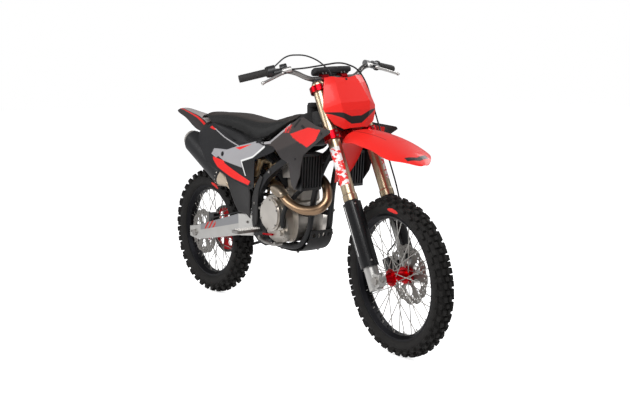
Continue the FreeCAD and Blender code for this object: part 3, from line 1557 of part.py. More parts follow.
def skid_plate():
    """The guard under the engine that curves up ahead of the down tubes."""
    plate = side_plate(skid_outline_shares, -skid_half_width, skid_half_width)
    for y_share in skid_hole_shares:
        place = spot(skid_hole_place[0], y_share, skid_hole_place[1])
        hole = cylinder(skid_hole_radius, place, place + Vector(skid_half_width, 0, 0))
        plate = plate.cut(hole)
    low, high = (spot(*place) for place in skid_pad_shares)
    room = down_tube(cradle_tube_radius + seat_gap)
    pad = block(low.x, high.x, -skid_half_width, high.y, low.z, high.z).cut(room)
    return fused([plate, pad, mirrored(pad)])


def foot_controls():
    """Footpegs on both sides, the brake pedal and the gear lever."""
    plate_face = pivot_plate_y + pivot_plate_wall + seat_gap
    parts = []
    for side in (-1, 1):
        peg = block(-peg_half_length, peg_half_length, 0, peg_reach, 0, peg_height)
        if side < 0:
            peg = mirrored(peg)
        place = spot(*peg_shares)
        parts.append(peg.translated(Vector(place.x, side * plate_face, place.z)))
    pedal = tube([spot(*place) for place in pedal_shares], pedal_radius)
    root = spot(*pedal_shares[0])
    hub = bar_across(pedal_hub_radius, root.x, root.z, root.y - pedal_radius, -plate_face)
    pad = cylinder(pedal_tip_radius, spot(*pedal_pad_shares[0]), spot(*pedal_pad_shares[1]))
    parts.append(fused([pedal, hub, pad]))
    lever = tube([spot(*place) for place in gear_lever_shares], pedal_radius)
    root = spot(*gear_lever_shares[0])
    case_face = case_half_width * left_case_share + seat_gap
    shaft = bar_across(pedal_radius, root.x, root.z, case_face, root.y + pedal_radius)
    toe = cylinder(pedal_tip_radius, spot(*gear_toe_shares[0]), spot(*gear_toe_shares[1]))
    parts.append(fused([lever, shaft, toe]))
    return Part.makeCompound(parts)


# Cords, clipped to what they run along


def brake_hose():
    """The front brake hose, from its cylinder round the plate and down the left leg."""
    return tube([stem_spot(*place) for place in hose_route_shares], hose_radius)


def throttle_cable():
    """The throttle cable, from its housing over to the back of the plate."""
    return tube([stem_spot(*place) for place in throttle_route_shares], cable_radius)


# Every piece by name

def upright_pieces():
    """Pieces drawn upright about the steering axis."""
    half_axle = clamp_half_spacing + foot_lug_width / 2 + seat_gap
    return {
        "triple_clamps": triple_clamps(),
        "fork_outer_tubes": Part.makeCompound([fork_outer(-1), fork_outer(1)]),
        "fork_legs": Part.makeCompound([fork_leg(-1), fork_leg(1)]),
        "fork_guards": Part.makeCompound([fork_guard(-1), fork_guard(1)]),
        "front_axle": wheel_axle(axle_radius_front, axle_reach, 0, half_axle),
        "handlebar": handlebar(),
        "grips": Part.makeCompound([grip(-1), grip(1)]),
        "bar_pad": bar_pad(),
        "bar_controls": Part.makeCompound([bar_fittings(-1), bar_fittings(1)]),
        "number_plate": number_plate(),
        "front_fender": front_fender(),
        "front_caliper": front_caliper(),
        "brake_hose": brake_hose(),
        "throttle_cable": throttle_cable(),
    }


def front_wheel_pieces():
    """The front wheel, about its own axle."""
    reach = rim_inner_radius(front_bead_radius)
    seats = [(front_disc_y - disc_wall / 2 - seat_gap, hub_seat_radius)]
    hub = spoked_hub(
        hub_flange_gap_front, hub_flange_radius_front, hub_core_width_front, axle_radius_front,
        reach, seats,
    )
    return {
        "front_tyre": tyre(front_tyre_radius, front_tyre_width, front_bead_radius, front_rim_width),
        "front_rim": rim(front_bead_radius, front_rim_width),
        "front_spoked_hub": hub,
        "front_disc": disc(front_disc_radius, front_disc_y),
    }


def rear_wheel_pieces():
    """The rear wheel, about its own axle."""
    reach = rim_inner_radius(rear_bead_radius)
    disc_seat = rear_disc_y + disc_wall / 2 + seat_gap
    sprocket_seat = chain_y - sprocket_wall / 2 - seat_gap
    seats = [(disc_seat, hub_seat_radius), (sprocket_seat, sprocket_seat_radius)]
    hub = spoked_hub(
        hub_flange_gap_rear, hub_flange_radius_rear, hub_core_width_rear, axle_radius_rear,
        reach, seats,
    )
    return {
        "rear_tyre": tyre(rear_tyre_radius, rear_tyre_width, rear_bead_radius, rear_rim_width),
        "rear_rim": rim(rear_bead_radius, rear_rim_width),
        "rear_spoked_hub": hub,
        "rear_disc": disc(rear_disc_radius, rear_disc_y),
        "rear_sprocket": rear_sprocket(),
    }


def chassis_pieces():
    """Everything that neither steers nor rolls."""
    half_axle = arm_inner_y + arm_wall + seat_gap
    return {
        "main_frame": main_frame(),
        "frame_cradle": frame_cradle(),
        "subframe": subframe(),
        "swingarm": swingarm(),
        "rear_axle": wheel_axle(axle_radius_rear, 0, rear_tyre_radius, half_axle),
        "rear_shock": rear_shock(),
        "shock_spring": shock_spring(),
        "rear_caliper": rear_caliper(),
        "chain": chain(),
        "chain_guide": chain_guide(),
        "front_sprocket": front_sprocket(),
        "engine_cases": engine_cases(),
        "engine_covers": engine_covers(),
        "engine_top_end": engine_top_end(),
        "exhaust_header": exhaust_header(),
        "muffler": muffler(),
        "radiators": radiators(),
        "fuel_tank": fuel_tank(),
        "seat": seat(),
        "shrouds": shrouds(),
        "side_panels": side_panels(),
        "rear_fender": rear_fender(),
        "airbox": airbox(),
        "skid_plate": skid_plate(),
        "foot_controls": foot_controls(),
    }


def all_pieces():
    """Every piece at rest, about the rider's seat point."""
    pieces = dict(chassis_pieces())
    for name, shape in upright_pieces().items():
        pieces[name] = steered(raked(shape))
    for name, shape in front_wheel_pieces().items():
        pieces[name] = at_front(shape)
    for name, shape in rear_wheel_pieces().items():
        pieces[name] = at_rear(shape)
    origin = spot(rider_shares[0], 0, rider_shares[1])
    return {name: shape.translated(-origin) for name, shape in pieces.items()}


os.makedirs("parts", exist_ok=True)
for name, shape in all_pieces().items():
    shape.exportStep(os.path.join("parts", name + ".step"))
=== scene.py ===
# %% [markdown]
# # A motocross bike in a studio
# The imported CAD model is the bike's skeleton: every node is already in its place, in
# metres, about the point of the seat that carries the rider. This lesson dresses it.
# Hard parts keep their CAD solids and get finishes, and tyres, discs, soft parts and
# small hardware are modelled on top of them.

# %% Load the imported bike
import math
import bmesh
import bpy
from mathutils import Matrix, Vector
from mathutils.bvhtree import BVHTree


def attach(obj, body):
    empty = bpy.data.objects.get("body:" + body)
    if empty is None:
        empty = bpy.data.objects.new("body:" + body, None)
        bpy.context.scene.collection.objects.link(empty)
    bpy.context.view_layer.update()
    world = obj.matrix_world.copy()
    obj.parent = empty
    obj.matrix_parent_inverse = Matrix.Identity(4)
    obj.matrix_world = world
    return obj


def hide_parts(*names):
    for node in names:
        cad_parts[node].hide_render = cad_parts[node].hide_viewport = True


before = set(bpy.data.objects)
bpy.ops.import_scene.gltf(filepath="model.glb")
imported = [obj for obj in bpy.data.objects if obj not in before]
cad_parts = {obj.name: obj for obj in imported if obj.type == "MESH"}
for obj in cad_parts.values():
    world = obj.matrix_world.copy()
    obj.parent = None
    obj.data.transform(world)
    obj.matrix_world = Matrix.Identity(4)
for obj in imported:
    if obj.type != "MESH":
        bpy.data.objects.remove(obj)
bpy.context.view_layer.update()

# %% [markdown]
# ## Where things are
# A workshop measures a bike from the rear axle and the ground, in millimetres. The two
# helpers below turn such places into the frame's metres. The steering has a second
# set of axes: forward of the steering stem, across, and up along the stem, and the
# whole set is turned a little to the right, as the bars are in the photograph.

# %% Bike places and steering places
RIDER = Vector((560.0, 0.0, 955.0))
RAKE = math.radians(26.0)
BAR_TURN = math.radians(-6.5)
FRONT_AXLE = Vector((1490.0, 0.0, 342.0))
REAR_AXLE = Vector((0.0, 0.0, 334.0))
AXLE_REACH = 57.0
FORWARD = Vector((math.cos(RAKE), 0, math.sin(RAKE)))
STEM = Vector((-math.sin(RAKE), 0, math.cos(RAKE)))
STEM_FOOT = FRONT_AXLE - FORWARD * AXLE_REACH


def spot(x, y, z):
    """A place on the bike, from millimetres."""
    return (Vector((x, y, z)) - RIDER) / 1000


def as_matrix(first, second, third, place):
    """A matrix whose columns are three directions and a place."""
    columns = (first, second, third, place)
    rows = [[column[row] for column in columns] for row in range(3)]
    return Matrix(rows + [[0, 0, 0, 1]])


stem_frame = as_matrix(FORWARD, Vector((0, 1, 0)), STEM, spot(*STEM_FOOT))
steering_place = stem_frame @ Matrix.Rotation(BAR_TURN, 4, "Z")
front_wheel_place = (
    steering_place @ stem_frame.inverted() @ Matrix.Translation(spot(*FRONT_AXLE))
)
rear_wheel_place = Matrix.Translation(spot(*REAR_AXLE))
turned_forward = steering_place.to_3x3() @ Vector((1, 0, 0))
turned_across = steering_place.to_3x3() @ Vector((0, 1, 0))
print("front axle at", front_wheel_place.translation)

# %% [markdown]
# ## Camera and light
# The photograph looks at the bike's right side from well ahead of it. The camera stands
# where the wheels, fork and tail of the CAD model fall on the photographed ones. Studio
# pictures of this kind use a white sweep and large soft lamps, so a pale floor and three
# area lamps are enough. The backdrop is white to the eye, but it lights the bike only
# a third as much, as a dim room behind the lamps does, and so black plastics stay black.

# %% Camera
camera_data = bpy.data.cameras.new("camera")
camera = bpy.data.objects.new("camera", camera_data)
scene = bpy.context.scene
scene.collection.objects.link(camera)
CAMERA_PLACE = (4498.1, -2700.7, 1236.6)
VIEW_YAW = math.radians(36.93)
VIEW_DIP = math.radians(8.65)
camera_data.sensor_width = 36.0
camera_data.lens = 56.05
camera_data.clip_end = 60.0
camera.location = spot(*CAMERA_PLACE)
looking = Vector((
    -math.cos(VIEW_YAW) * math.cos(VIEW_DIP),
    math.sin(VIEW_YAW) * math.cos(VIEW_DIP),
    -math.sin(VIEW_DIP),
))
camera.rotation_euler = looking.to_track_quat("-Z", "Y").to_euler()
scene.camera = camera
print("camera at", camera.location)

# %% Floor and lamps
ROOM_LIGHT = (0.36, 0.36, 0.37, 1.0)
SEEN_BACKDROP = (1.0, 1.0, 1.0, 1.0)
scene.view_settings.view_transform = "Standard"
bpy.ops.object.select_all(action="DESELECT")
bpy.ops.mesh.primitive_plane_add(size=40, location=spot(560, 0, -0.6))
floor = bpy.context.object
floor.name = "floor"
world = scene.world or bpy.data.worlds.new("studio")
scene.world = world
world.use_nodes = True
sky = world.node_tree.nodes["Background"]
rays = world.node_tree.nodes.new("ShaderNodeLightPath")
tent = world.node_tree.nodes.new("ShaderNodeMix")
tent.data_type = "RGBA"
tent.inputs[6].default_value = ROOM_LIGHT
tent.inputs[7].default_value = SEEN_BACKDROP
world.node_tree.links.new(rays.outputs["Is Camera Ray"], tent.inputs[0])
world.node_tree.links.new(tent.outputs[2], sky.inputs["Color"])
sky.inputs["Strength"].default_value = 1.0


def lamp(name, place, aim, size, power):
    """A large soft lamp at a place, turned towards another."""
    data = bpy.data.lights.new(name, "AREA")
    data.shape = "RECTANGLE"
    data.size = size[0]
    data.size_y = size[1]
    data.energy = power
    lit = bpy.data.objects.new(name, data)
    scene.collection.objects.link(lit)
    lit.location = place
    lit.rotation_euler = (Vector(aim) - Vector(place)).to_track_quat("-Z", "Y").to_euler()
    return lit


lamp("key_lamp", (2.6, -2.4, 2.6), (0.2, 0, -0.3), (2.4, 2.0), 150.0)
lamp("side_lamp", (-1.6, -3.4, 1.2), (0.0, 0, -0.3), (2.2, 1.6), 75.0)
lamp("far_lamp", (0.6, 3.2, 2.4), (0.2, 0, -0.3), (3.0, 1.6), 85.0)

# %% [markdown]
# ## Shader sums
# A finish is a small network of nodes. Writing it as sums keeps it readable, so a tone
# wraps one socket, and adding or multiplying tones adds the Math nodes. A finish holds
# the material, and its one method for other nodes takes the node's type, its settings
# and what its sockets get.

# %% Tones and finishes
class Tone:
    """One socket of a finish, which sums can use as a number."""

    def __init__(self, finish, socket):
        self.finish = finish
        self.socket = socket

    def __add__(self, other):
        return self.finish.sum("ADD", self, other)

    def __radd__(self, other):
        return self.finish.sum("ADD", other, self)

    def __sub__(self, other):
        return self.finish.sum("SUBTRACT", self, other)

    def __rsub__(self, other):
        return self.finish.sum("SUBTRACT", other, self)

    def __mul__(self, other):
        return self.finish.sum("MULTIPLY", self, other)

    def __rmul__(self, other):
        return self.finish.sum("MULTIPLY", other, self)

    def __truediv__(self, other):
        return self.finish.sum("DIVIDE", self, other)

    def __abs__(self):
        return self.finish.sum("ABSOLUTE", self)

    def low(self, other):
        return self.finish.sum("MINIMUM", self, other)

    def high(self, other):
        return self.finish.sum("MAXIMUM", self, other)


class Finish:
    """A material under construction."""

    def __init__(self, name, colour, roughness, metallic=0.0):
        self.material = bpy.data.materials.new(name)
        self.material.use_nodes = True
        self.tree = self.material.node_tree
        self.shader = self.tree.nodes["Principled BSDF"]
        self.set(("Base Color", colour), ("Roughness", roughness), ("Metallic", metallic))
        self.place = self.node("ShaderNodeTexCoord", output="Object")

    def node(self, kind, settings=(), inputs=(), output=0):
        """Any node: its settings first, then the values or links of its sockets."""
        made = self.tree.nodes.new(kind)
        for name, value in dict(settings).items():
            if name == "stops":
                ramp = made.color_ramp
                while len(ramp.elements) < len(value):
                    ramp.elements.new(0.5)
                for element, (at_share, colour) in zip(ramp.elements, value):
                    element.position = at_share
                    element.color = (*colour, 1.0)
            else:
                setattr(made, name, value)
        for name, value in dict(inputs).items():
            self.feed(made.inputs[name], value)
        return Tone(self, made.outputs[output])

    def feed(self, socket, value):
        """Link a tone to a socket, or set the socket's own value."""
        if isinstance(value, Tone):
            self.tree.links.new(value.socket, socket)
        elif isinstance(value, tuple) and socket.type == "RGBA":
            socket.default_value = (*value[:3], 1.0)
        else:
            socket.default_value = value

    def set(self, *pairs):
        """Values or links of the shader's own sockets."""
        for name, value in pairs:
            self.feed(self.shader.inputs[name], value)
        return self

    def sum(self, operation, first, second=0.0):
        return self.node("ShaderNodeMath", {"operation": operation}, {0: first, 1: second})

    def mask(self, distance, soft=0.0008):
        """1 where a signed distance in metres is positive, 0 where it is negative."""
        return self.node(
            "ShaderNodeMath", {"operation": "MULTIPLY_ADD", "use_clamp": True},
            {0: distance, 1: 1.0 / soft, 2: 0.5},
        )

    def band(self, tone, low, high, soft=0.0008):
        """1 where a tone lies between two distances in metres."""
        return self.mask(tone - low, soft) * self.mask(high - tone, soft)

    def mix(self, factor, first, second):
        """A colour between two."""
        return self.node(
            "ShaderNodeMix", {"data_type": "RGBA"}, {0: factor, 6: first, 7: second}, 2
        )

    def clouds(self, scale, dark, light, detail=2.0):
        """A colour that drifts between two."""
        return self.mix(self.noise(scale, detail), dark, light)

    def noise(self, scale, detail=2.0, stretch=(1, 1, 1)):
        """A soft random tone, in features of about 1 / scale metres."""
        place = self.place
        if stretch != (1, 1, 1):
            place = self.node("ShaderNodeMapping", {}, {"Vector": place, "Scale": stretch})
        return self.node(
            "ShaderNodeTexNoise", {}, {"Vector": place, "Scale": scale, "Detail": detail}
        )

    def along(self, direction, start):
        """How far a point of the piece lies from a start along a direction, in metres."""
        reach = self.node(
            "ShaderNodeVectorMath", {"operation": "DOT_PRODUCT"},
            {0: self.place, 1: tuple(direction)}, "Value",
        )
        return reach - Vector(direction).dot(Vector(start))

    def patch(self, first, second, corners, soft=0.0008):
        """1 inside an outline without dents, given anticlockwise in two tones' metres."""
        inside = None
        for (a, b), (c, d) in zip(corners, corners[1:] + corners[:1]):
            length = math.hypot(c - a, d - b)
            across, up = (b - d) / length, (c - a) / length
            reach = first * across + second * up - (a * across + b * up)
            inside = reach if inside is None else inside.low(reach)
        return self.mask(inside, soft)

    def bump(self, height, distance, strength=1.0):
        """Shade a height, in shares of a distance in metres, as relief."""
        relief = self.node(
            "ShaderNodeBump", {},
            {"Height": height, "Distance": distance, "Strength": strength}, "Normal",
        )
        return self.set(("Normal", relief))


def side_outline(points):
    """An outline seen from the side, from millimetres to the frame's metres."""
    return [((x - RIDER.x) / 1000, (z - RIDER.z) / 1000) for x, z in points]


def dress(finish, *nodes):
    """Give CAD nodes a finish."""
    for name in nodes:
        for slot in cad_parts[name].material_slots:
            slot.material = finish.material
    print(finish.material.name, "on", ", ".join(nodes))


# %% [markdown]
# The studio's floor is a pale sheet that meets the white backdrop. To the camera it has
# a light of its own, which keeps it from going grey where the lamps don't reach.

# %% Floor finish
paper = Finish("paper", (0.90, 0.90, 0.90), 0.72)
seen = paper.node("ShaderNodeLightPath", output="Is Camera Ray")
paper.set(
    ("Base Color", paper.clouds(3.0, (0.90, 0.90, 0.90), (0.94, 0.94, 0.94), 3.0)),
    ("Emission Color", paper.mix(seen, (0.05, 0.05, 0.05), (0.74, 0.74, 0.74))),
    ("Emission Strength", 1.0), ("Specular IOR Level", 0.1),
)
floor.data.materials.clear()
floor.data.materials.append(paper.material)

# %% [markdown]
# ## Plain finishes
# Most of the bike is moulded plastic, painted steel, cast or anodised aluminium and bare
# steel. Each of these has its own grain: plastic is almost smooth with a faint orange
# peel, castings are pebbled, machined faces have fine streaks, and all of them are a
# little duller where hands and mud have been. Two makers below give that grain.

# %% Moulded plastic and metal
def moulded(name, colour, roughness, grain=900.0, depth=0.00008, coat=0.0):
    """Plastic or paint with a faint texture and uneven gloss."""
    finish = Finish(name, colour, roughness)
    cloud = finish.noise(7.0, 4.0)
    fine = finish.noise(grain, 2.0)
    dull = tuple(min(1.0, share * 0.82 + 0.006) for share in colour)
    finish.set(
        ("Base Color", finish.mix(cloud, dull, colour)),
        ("Roughness", cloud * 0.18 + (roughness - 0.07) + fine * 0.05),
        ("Coat Weight", coat), ("Specular IOR Level", 0.18),
    )
    return finish.bump(fine, depth)


def metal(name, colour, roughness, grain=60.0, depth=0.00015, stretch=(1, 1, 1)):
    """Metal with cast pebbles or machined streaks, and faint stains."""
    finish = Finish(name, colour, roughness, 1.0)
    cloud = finish.noise(11.0, 5.0)
    fine = finish.noise(grain, 3.0, stretch)
    stained = tuple(share * 0.66 for share in colour)
    finish.set(
        ("Base Color", finish.mix(cloud, stained, colour)),
        ("Roughness", cloud * 0.22 + (roughness - 0.11) + fine * 0.08),
    )
    return finish.bump(fine, depth)


black_plastic = moulded("black_plastic", (0.011, 0.0105, 0.0105), 0.46)
gloss_black = moulded("gloss_black", (0.007, 0.007, 0.0075), 0.24, coat=0.2)
frame_paint = moulded("frame_paint", (0.009, 0.009, 0.010), 0.36, coat=0.1)
cast_silver = metal("cast_silver", (0.50, 0.465, 0.42), 0.36, 420.0, 0.0004)
smooth_silver = metal("smooth_silver", (0.66, 0.62, 0.57), 0.32, 700.0, 0.00008)
bare_steel = metal("bare_steel", (0.36, 0.345, 0.325), 0.36, 90.0, 0.00005, (1, 8, 1))
disc_steel = metal("disc_steel", (0.25, 0.237, 0.22), 0.40, 90.0, 0.00005, (1, 8, 1))
fork_silver = metal("fork_silver", (0.52, 0.51, 0.49), 0.32, 80.0, 0.00005, (1, 1, 0.2))
red_metal = metal("red_metal", (0.50, 0.004, 0.010), 0.28, 300.0, 0.00005)
black_rim_metal = metal("black_rim_metal", (0.016, 0.016, 0.018), 0.34, 60.0, 0.00005)
bar_metal = metal("bar_metal", (0.26, 0.245, 0.235), 0.36, 90.0, 0.00006, (1, 8, 1))
dark_metal = metal("dark_metal", (0.07, 0.07, 0.072), 0.40, 380.0, 0.0003)
gold_metal = metal("gold_metal", (0.56, 0.43, 0.27), 0.34, 90.0, 0.00006)
blue_metal = metal("blue_metal", (0.02, 0.09, 0.42), 0.30, 90.0, 0.00006)
chain_metal = metal("chain_metal", (0.13, 0.125, 0.12), 0.42, 300.0, 0.0001)
dress(frame_paint, "main_frame", "frame_cradle", "subframe")
dress(cast_silver, "engine_cases", "engine_top_end")
dress(disc_steel, "front_disc", "rear_disc")
dress(bare_steel, "foot_controls")
dress(bare_steel, "front_axle", "rear_axle", "front_sprocket")
dress(black_plastic, "airbox", "skid_plate", "chain_guide", "fuel_tank")
dress(black_rim_metal, "front_rim", "rear_rim")
dress(red_metal, "triple_clamps", "rear_sprocket")
dress(fork_silver, "fork_legs")
dress(dark_metal, "front_caliper", "rear_caliper", "radiators", "shock_spring")
dress(bar_metal, "handlebar")
dress(chain_metal, "chain")

# %% [markdown]
# ## Printed plastics
# The side panels, shrouds and tail carry printed fields in grey, red and black. Each
# field is an outline seen from the side, so the shader only needs the piece's x and z:
# an outline without dents is where every one of its edges has the point on its inner
# side, and a longer field is two or three such outlines together.

# %% Side panels
side_print = moulded("side_print", (0.009, 0.009, 0.010), 0.34, coat=0.1)


def side_axes(finish):
    """The two tones that a side outline is drawn in."""
    return finish.along((1, 0, 0), (0, 0, 0)), finish.along((0, 0, 1), (0, 0, 0))


def paint(finish, base, layers):
    """Lay printed colours over a base, each one where its mask is 1."""
    for mask, colour in layers:
        base = finish.mix(mask, base, colour)
    finish.set(("Base Color", base))
    return finish


def fields(finish, outlines, soft=0.0008):
    """Several outlines without dents, joined in one mask."""
    x, z = side_axes(finish)
    whole = None
    for points in outlines:
        one = finish.patch(x, z, side_outline(points), soft)
        whole = one if whole is None else whole.high(one)
    return whole


PANEL_GREY = (0.30, 0.29, 0.295)
PRINT_RED = (0.66, 0.016, 0.013)
PRINT_WHITE = (0.66, 0.66, 0.65)
grey_field = fields(side_print, [
    [(300, 764), (381, 751), (551, 690), (521, 764), (510, 836), (400, 806)],
    [(470, 822), (480, 760), (521, 763), (606, 787), (698, 842), (628, 860), (500, 832)],
    [(262, 776), (310, 760), (410, 808), (330, 806), (282, 806)],
])
red_stripe = fields(side_print, [
    [(281, 765), (284, 751), (330, 717), (393, 738), (381, 751)],
    [(330, 717), (450, 672), (563, 645), (579, 665), (393, 738)],
])
red_wedge = fields(side_print, [
    [(470, 820), (507, 813), (598, 846)],
    [(188, 902), (232, 894), (262, 894), (206, 912)],
])
white_edges = fields(side_print, [
    [(521, 756), (606, 780), (606, 789), (521, 765)],
    [(606, 780), (706, 838), (700, 846), (606, 789)],
    [(516, 763), (546, 690), (552, 690), (523, 763)],
], 0.0006)
edge_line = fields(side_print, [
    [(206, 899), (254, 895), (254, 901), (206, 905)],
    [(254, 895), (362, 861), (362, 867), (254, 901)],
    [(362, 861), (494, 827), (494, 833), (362, 867)],
], 0.0006)
panel_x, panel_z = side_axes(side_print)
dot_x = panel_x - spot(365, 0, 783).x
dot_z = panel_z - spot(365, 0, 783).z
dot = side_print.mask(0.0125 - side_print.sum("SQRT", dot_x * dot_x + dot_z * dot_z))
paint(side_print, (0.009, 0.009, 0.010), [
    (grey_field, side_print.clouds(9.0, (0.27, 0.27, 0.285), PANEL_GREY, 3.0)),
    (edge_line, PANEL_GREY), (red_stripe, PRINT_RED), (red_wedge, PRINT_RED),
    (white_edges, PRINT_WHITE), (dot, (0.012, 0.012, 0.014)),
])
dress(side_print, "side_panels")

# %% Shrouds
shroud_print = moulded("shroud_print", (0.042, 0.033, 0.031), 0.36, coat=0.1)
brushed = shroud_print.noise(160.0, 3.0, (0.25, 1, 2.2)) * 0.030
shroud_x, shroud_z = side_axes(shroud_print)
red_brush = shroud_print.patch(
    shroud_x + brushed, shroud_z + brushed * 0.4,
    side_outline([(925, 915), (1000, 900), (1110, 866), (1175, 905), (1200, 952), (1085, 956)]),
    0.0012,
)
red_strokes = shroud_print.patch(
    shroud_x + brushed, shroud_z,
    side_outline([(880, 915), (930, 918), (935, 955), (885, 935)]), 0.0012,
) * shroud_print.mask(shroud_print.noise(120.0, 1.0, (2.4, 1, 0.4)) - 0.47, 0.02)
light_streak = fields(shroud_print, [
    [(690, 850), (776, 860), (772, 878), (690, 864)],
    [(768, 860), (905, 944), (905, 962), (768, 878)],
])
vent_slots = fields(shroud_print, [
    [(936, 946), (950, 941), (984, 978), (972, 984)],
    [(1000, 950), (1038, 940), (1044, 948), (1008, 960)],
])
lower_dark = shroud_print.mask(spot(0, 0, 838).z - shroud_z + (shroud_x - 0.30) * 0.30, 0.01)
charcoal = shroud_print.clouds(5.0, (0.032, 0.025, 0.024), (0.052, 0.042, 0.039))
paint(shroud_print, charcoal, [
    (lower_dark * 0.8, (0.020, 0.018, 0.018)), (light_streak, PANEL_GREY),
    (red_brush, PRINT_RED), (red_strokes, PRINT_RED), (vent_slots, (0.004, 0.004, 0.004)),
])
dress(shroud_print, "shrouds")

# %% [markdown]
# The tail is charcoal at its sides and pale on top, with one red line between. It
# narrows to its tip, so each print reaches out to a share of the width at its place.

# %% Tail
tail_print = moulded("tail_print", (0.045, 0.036, 0.035), 0.36, coat=0.15)
tail_x = side_axes(tail_print)[0]
tail_side = abs(tail_print.along((0, 1, 0), (0, 0, 0)))
behind_seat = tail_print.mask(spot(20, 0, 0).x - tail_x, 0.004)
half_width = tail_x * 0.135 + 0.148
pale_top = tail_print.mask(half_width * 0.62 - tail_side, 0.0012) * behind_seat
red_line = tail_print.band(tail_side, half_width * 0.72, half_width * 0.86, 0.001)
red_line = red_line * (1 - pale_top) * behind_seat
paint(tail_print, (0.030, 0.025, 0.024), [
    (pale_top, (0.30, 0.27, 0.26)), (red_line, PRINT_RED),
])
dress(tail_print, "rear_fender")

# %% [markdown]
# ## Red plastics of the steering
# The front fender and the plate turn with the steering, so their prints are measured
# forward, across and up along the stem. The plate has a black band in the shape of a
# shallow arrow across its foot, and the fender a dark slot line and a dark patch at
# its tip.

# %% Fender and plate
def steering_axes(finish):
    """Forward of the stem, across, and up along it, as tones in metres."""
    foot = spot(*STEM_FOOT)
    return [finish.along(way, foot) for way in (turned_forward, turned_across, STEM)]


red_plastic = moulded("red_plastic", (0.66, 0.016, 0.012), 0.32, coat=0.15)
fore, side, up = steering_axes(red_plastic)
wide = abs(side)
tip_patch = red_plastic.band(fore + wide * 0.22, 0.421, 0.436)
tip_patch = tip_patch * red_plastic.mask(0.052 - wide)
slot_line = red_plastic.mask(0.0016 - abs(wide + fore * 0.10 - 0.060), 0.0005)
slot_line = slot_line * red_plastic.band(fore, 0.12, 0.30, 0.002)
paint(red_plastic, red_plastic.clouds(4.0, (0.58, 0.012, 0.010), (0.72, 0.020, 0.014)), [
    (tip_patch, (0.02, 0.014, 0.014)), (slot_line, (0.10, 0.006, 0.006)),
])
dress(red_plastic, "front_fender")

plate_red = moulded("plate_red", (0.68, 0.017, 0.013), 0.34, coat=0.1)
fore, side, up = steering_axes(plate_red)
wing = (abs(side) - 0.026).high(0.0)
chevron = plate_red.band(up, wing * 0.62 + 0.684, wing * 0.38 + 0.713)
paint(plate_red, plate_red.clouds(4.0, (0.60, 0.013, 0.011), (0.74, 0.022, 0.016)), [
    (chevron, (0.014, 0.012, 0.012)),
])
dress(plate_red, "number_plate")

# %% [markdown]
# ## Fork, swingarm and exhaust
# The upper fork tubes are champagne anodised and carry a white and red sleeve below the
# lower clamp. The swingarm is brushed, with a grey upper panel and slanted red bars.
# The header pipe has been hot: steel runs from straw through bronze to brown.

# %% Fork tubes
fork_gold = metal("fork_gold", (0.60, 0.49, 0.34), 0.28, 80.0, 0.00004, (1, 1, 0.2))
fore, side, up = steering_axes(fork_gold)
outward = abs(side) - 0.095
sleeve = fork_gold.band(up, 0.432, 0.604)
sleeve = sleeve * fork_gold.mask((fore - 0.022) * 0.55 + outward * 0.83 - 0.016, 0.0006)
scrawl = fork_gold.noise(52.0, 3.0, (1.0, 1.0, 1.5))
red_slash = fork_gold.mask(scrawl - 0.50, 0.03) * sleeve
paint(fork_gold, fork_gold.clouds(11.0, (0.36, 0.285, 0.19), (0.50, 0.40, 0.275), 4.0), [
    (sleeve, PRINT_WHITE), (red_slash, PRINT_RED),
])
fork_gold.set(("Metallic", 1 - sleeve))
dress(fork_gold, "fork_outer_tubes")

# %% Fork guards, with a painted highlight
guard_gloss = moulded("guard_gloss", (0.007, 0.007, 0.0075), 0.24, coat=0.2)
fore, side, up = steering_axes(guard_gloss)
# The pale line down the front of each gloss black guard is a painted highlight, a reflection laid
# into the guard's colour.
painted_highlight = guard_gloss.mask(0.0024 - abs(fore - 0.020), 0.0006)
painted_highlight = painted_highlight * guard_gloss.mask(abs(side) - 0.104)
painted_highlight = painted_highlight * guard_gloss.band(up, 0.120, 0.340, 0.0006)
paint(guard_gloss, (0.007, 0.007, 0.0075), [(painted_highlight, (0.55, 0.54, 0.53))])
dress(guard_gloss, "fork_guards")

# %% Swingarm
arm_silver = metal("arm_silver", (0.66, 0.65, 0.63), 0.40, 120.0, 0.00006, (0.15, 1, 1))
arm_x, arm_z = side_axes(arm_silver)
middle_rise = arm_z - (arm_x - spot(0, 0, 0).x) * 0.225
upper_panel = arm_silver.mask(middle_rise - spot(0, 0, 343).z)
upper_panel = upper_panel * arm_silver.band(arm_x, spot(60, 0, 0).x, spot(430, 0, 0).x, 0.001)
slanted = arm_silver.sum("SINE", (arm_x - arm_z * 0.9) * 190.0)
red_bars = arm_silver.mask(slanted, 0.05) * upper_panel
red_bars = red_bars * arm_silver.band(arm_x, spot(105, 0, 0).x, spot(215, 0, 0).x, 0.001)
paint(arm_silver, arm_silver.clouds(9.0, (0.44, 0.43, 0.41), (0.58, 0.57, 0.55)), [
    (upper_panel, (0.30, 0.30, 0.31)), (red_bars, (0.60, 0.05, 0.04)),
])
dress(arm_silver, "swingarm")

# %% Exhaust
hot_steel = metal("hot_steel", (0.42, 0.30, 0.19), 0.30, 60.0, 0.00005)
ahead = hot_steel.along((1, 0, 0), spot(700, 0, 0))
heat = hot_steel.noise(9.0, 3.0) * 0.5 + (ahead * 1.1 + 0.35)
tint = hot_steel.node("ShaderNodeValToRGB", {"stops": [
    (0.15, (0.56, 0.45, 0.32)), (0.45, (0.46, 0.325, 0.20)), (0.65, (0.35, 0.23, 0.135)),
    (0.85, (0.26, 0.17, 0.105)),
]}, {0: heat})
hot_steel.set(("Base Color", tint))
dress(hot_steel, "exhaust_header")

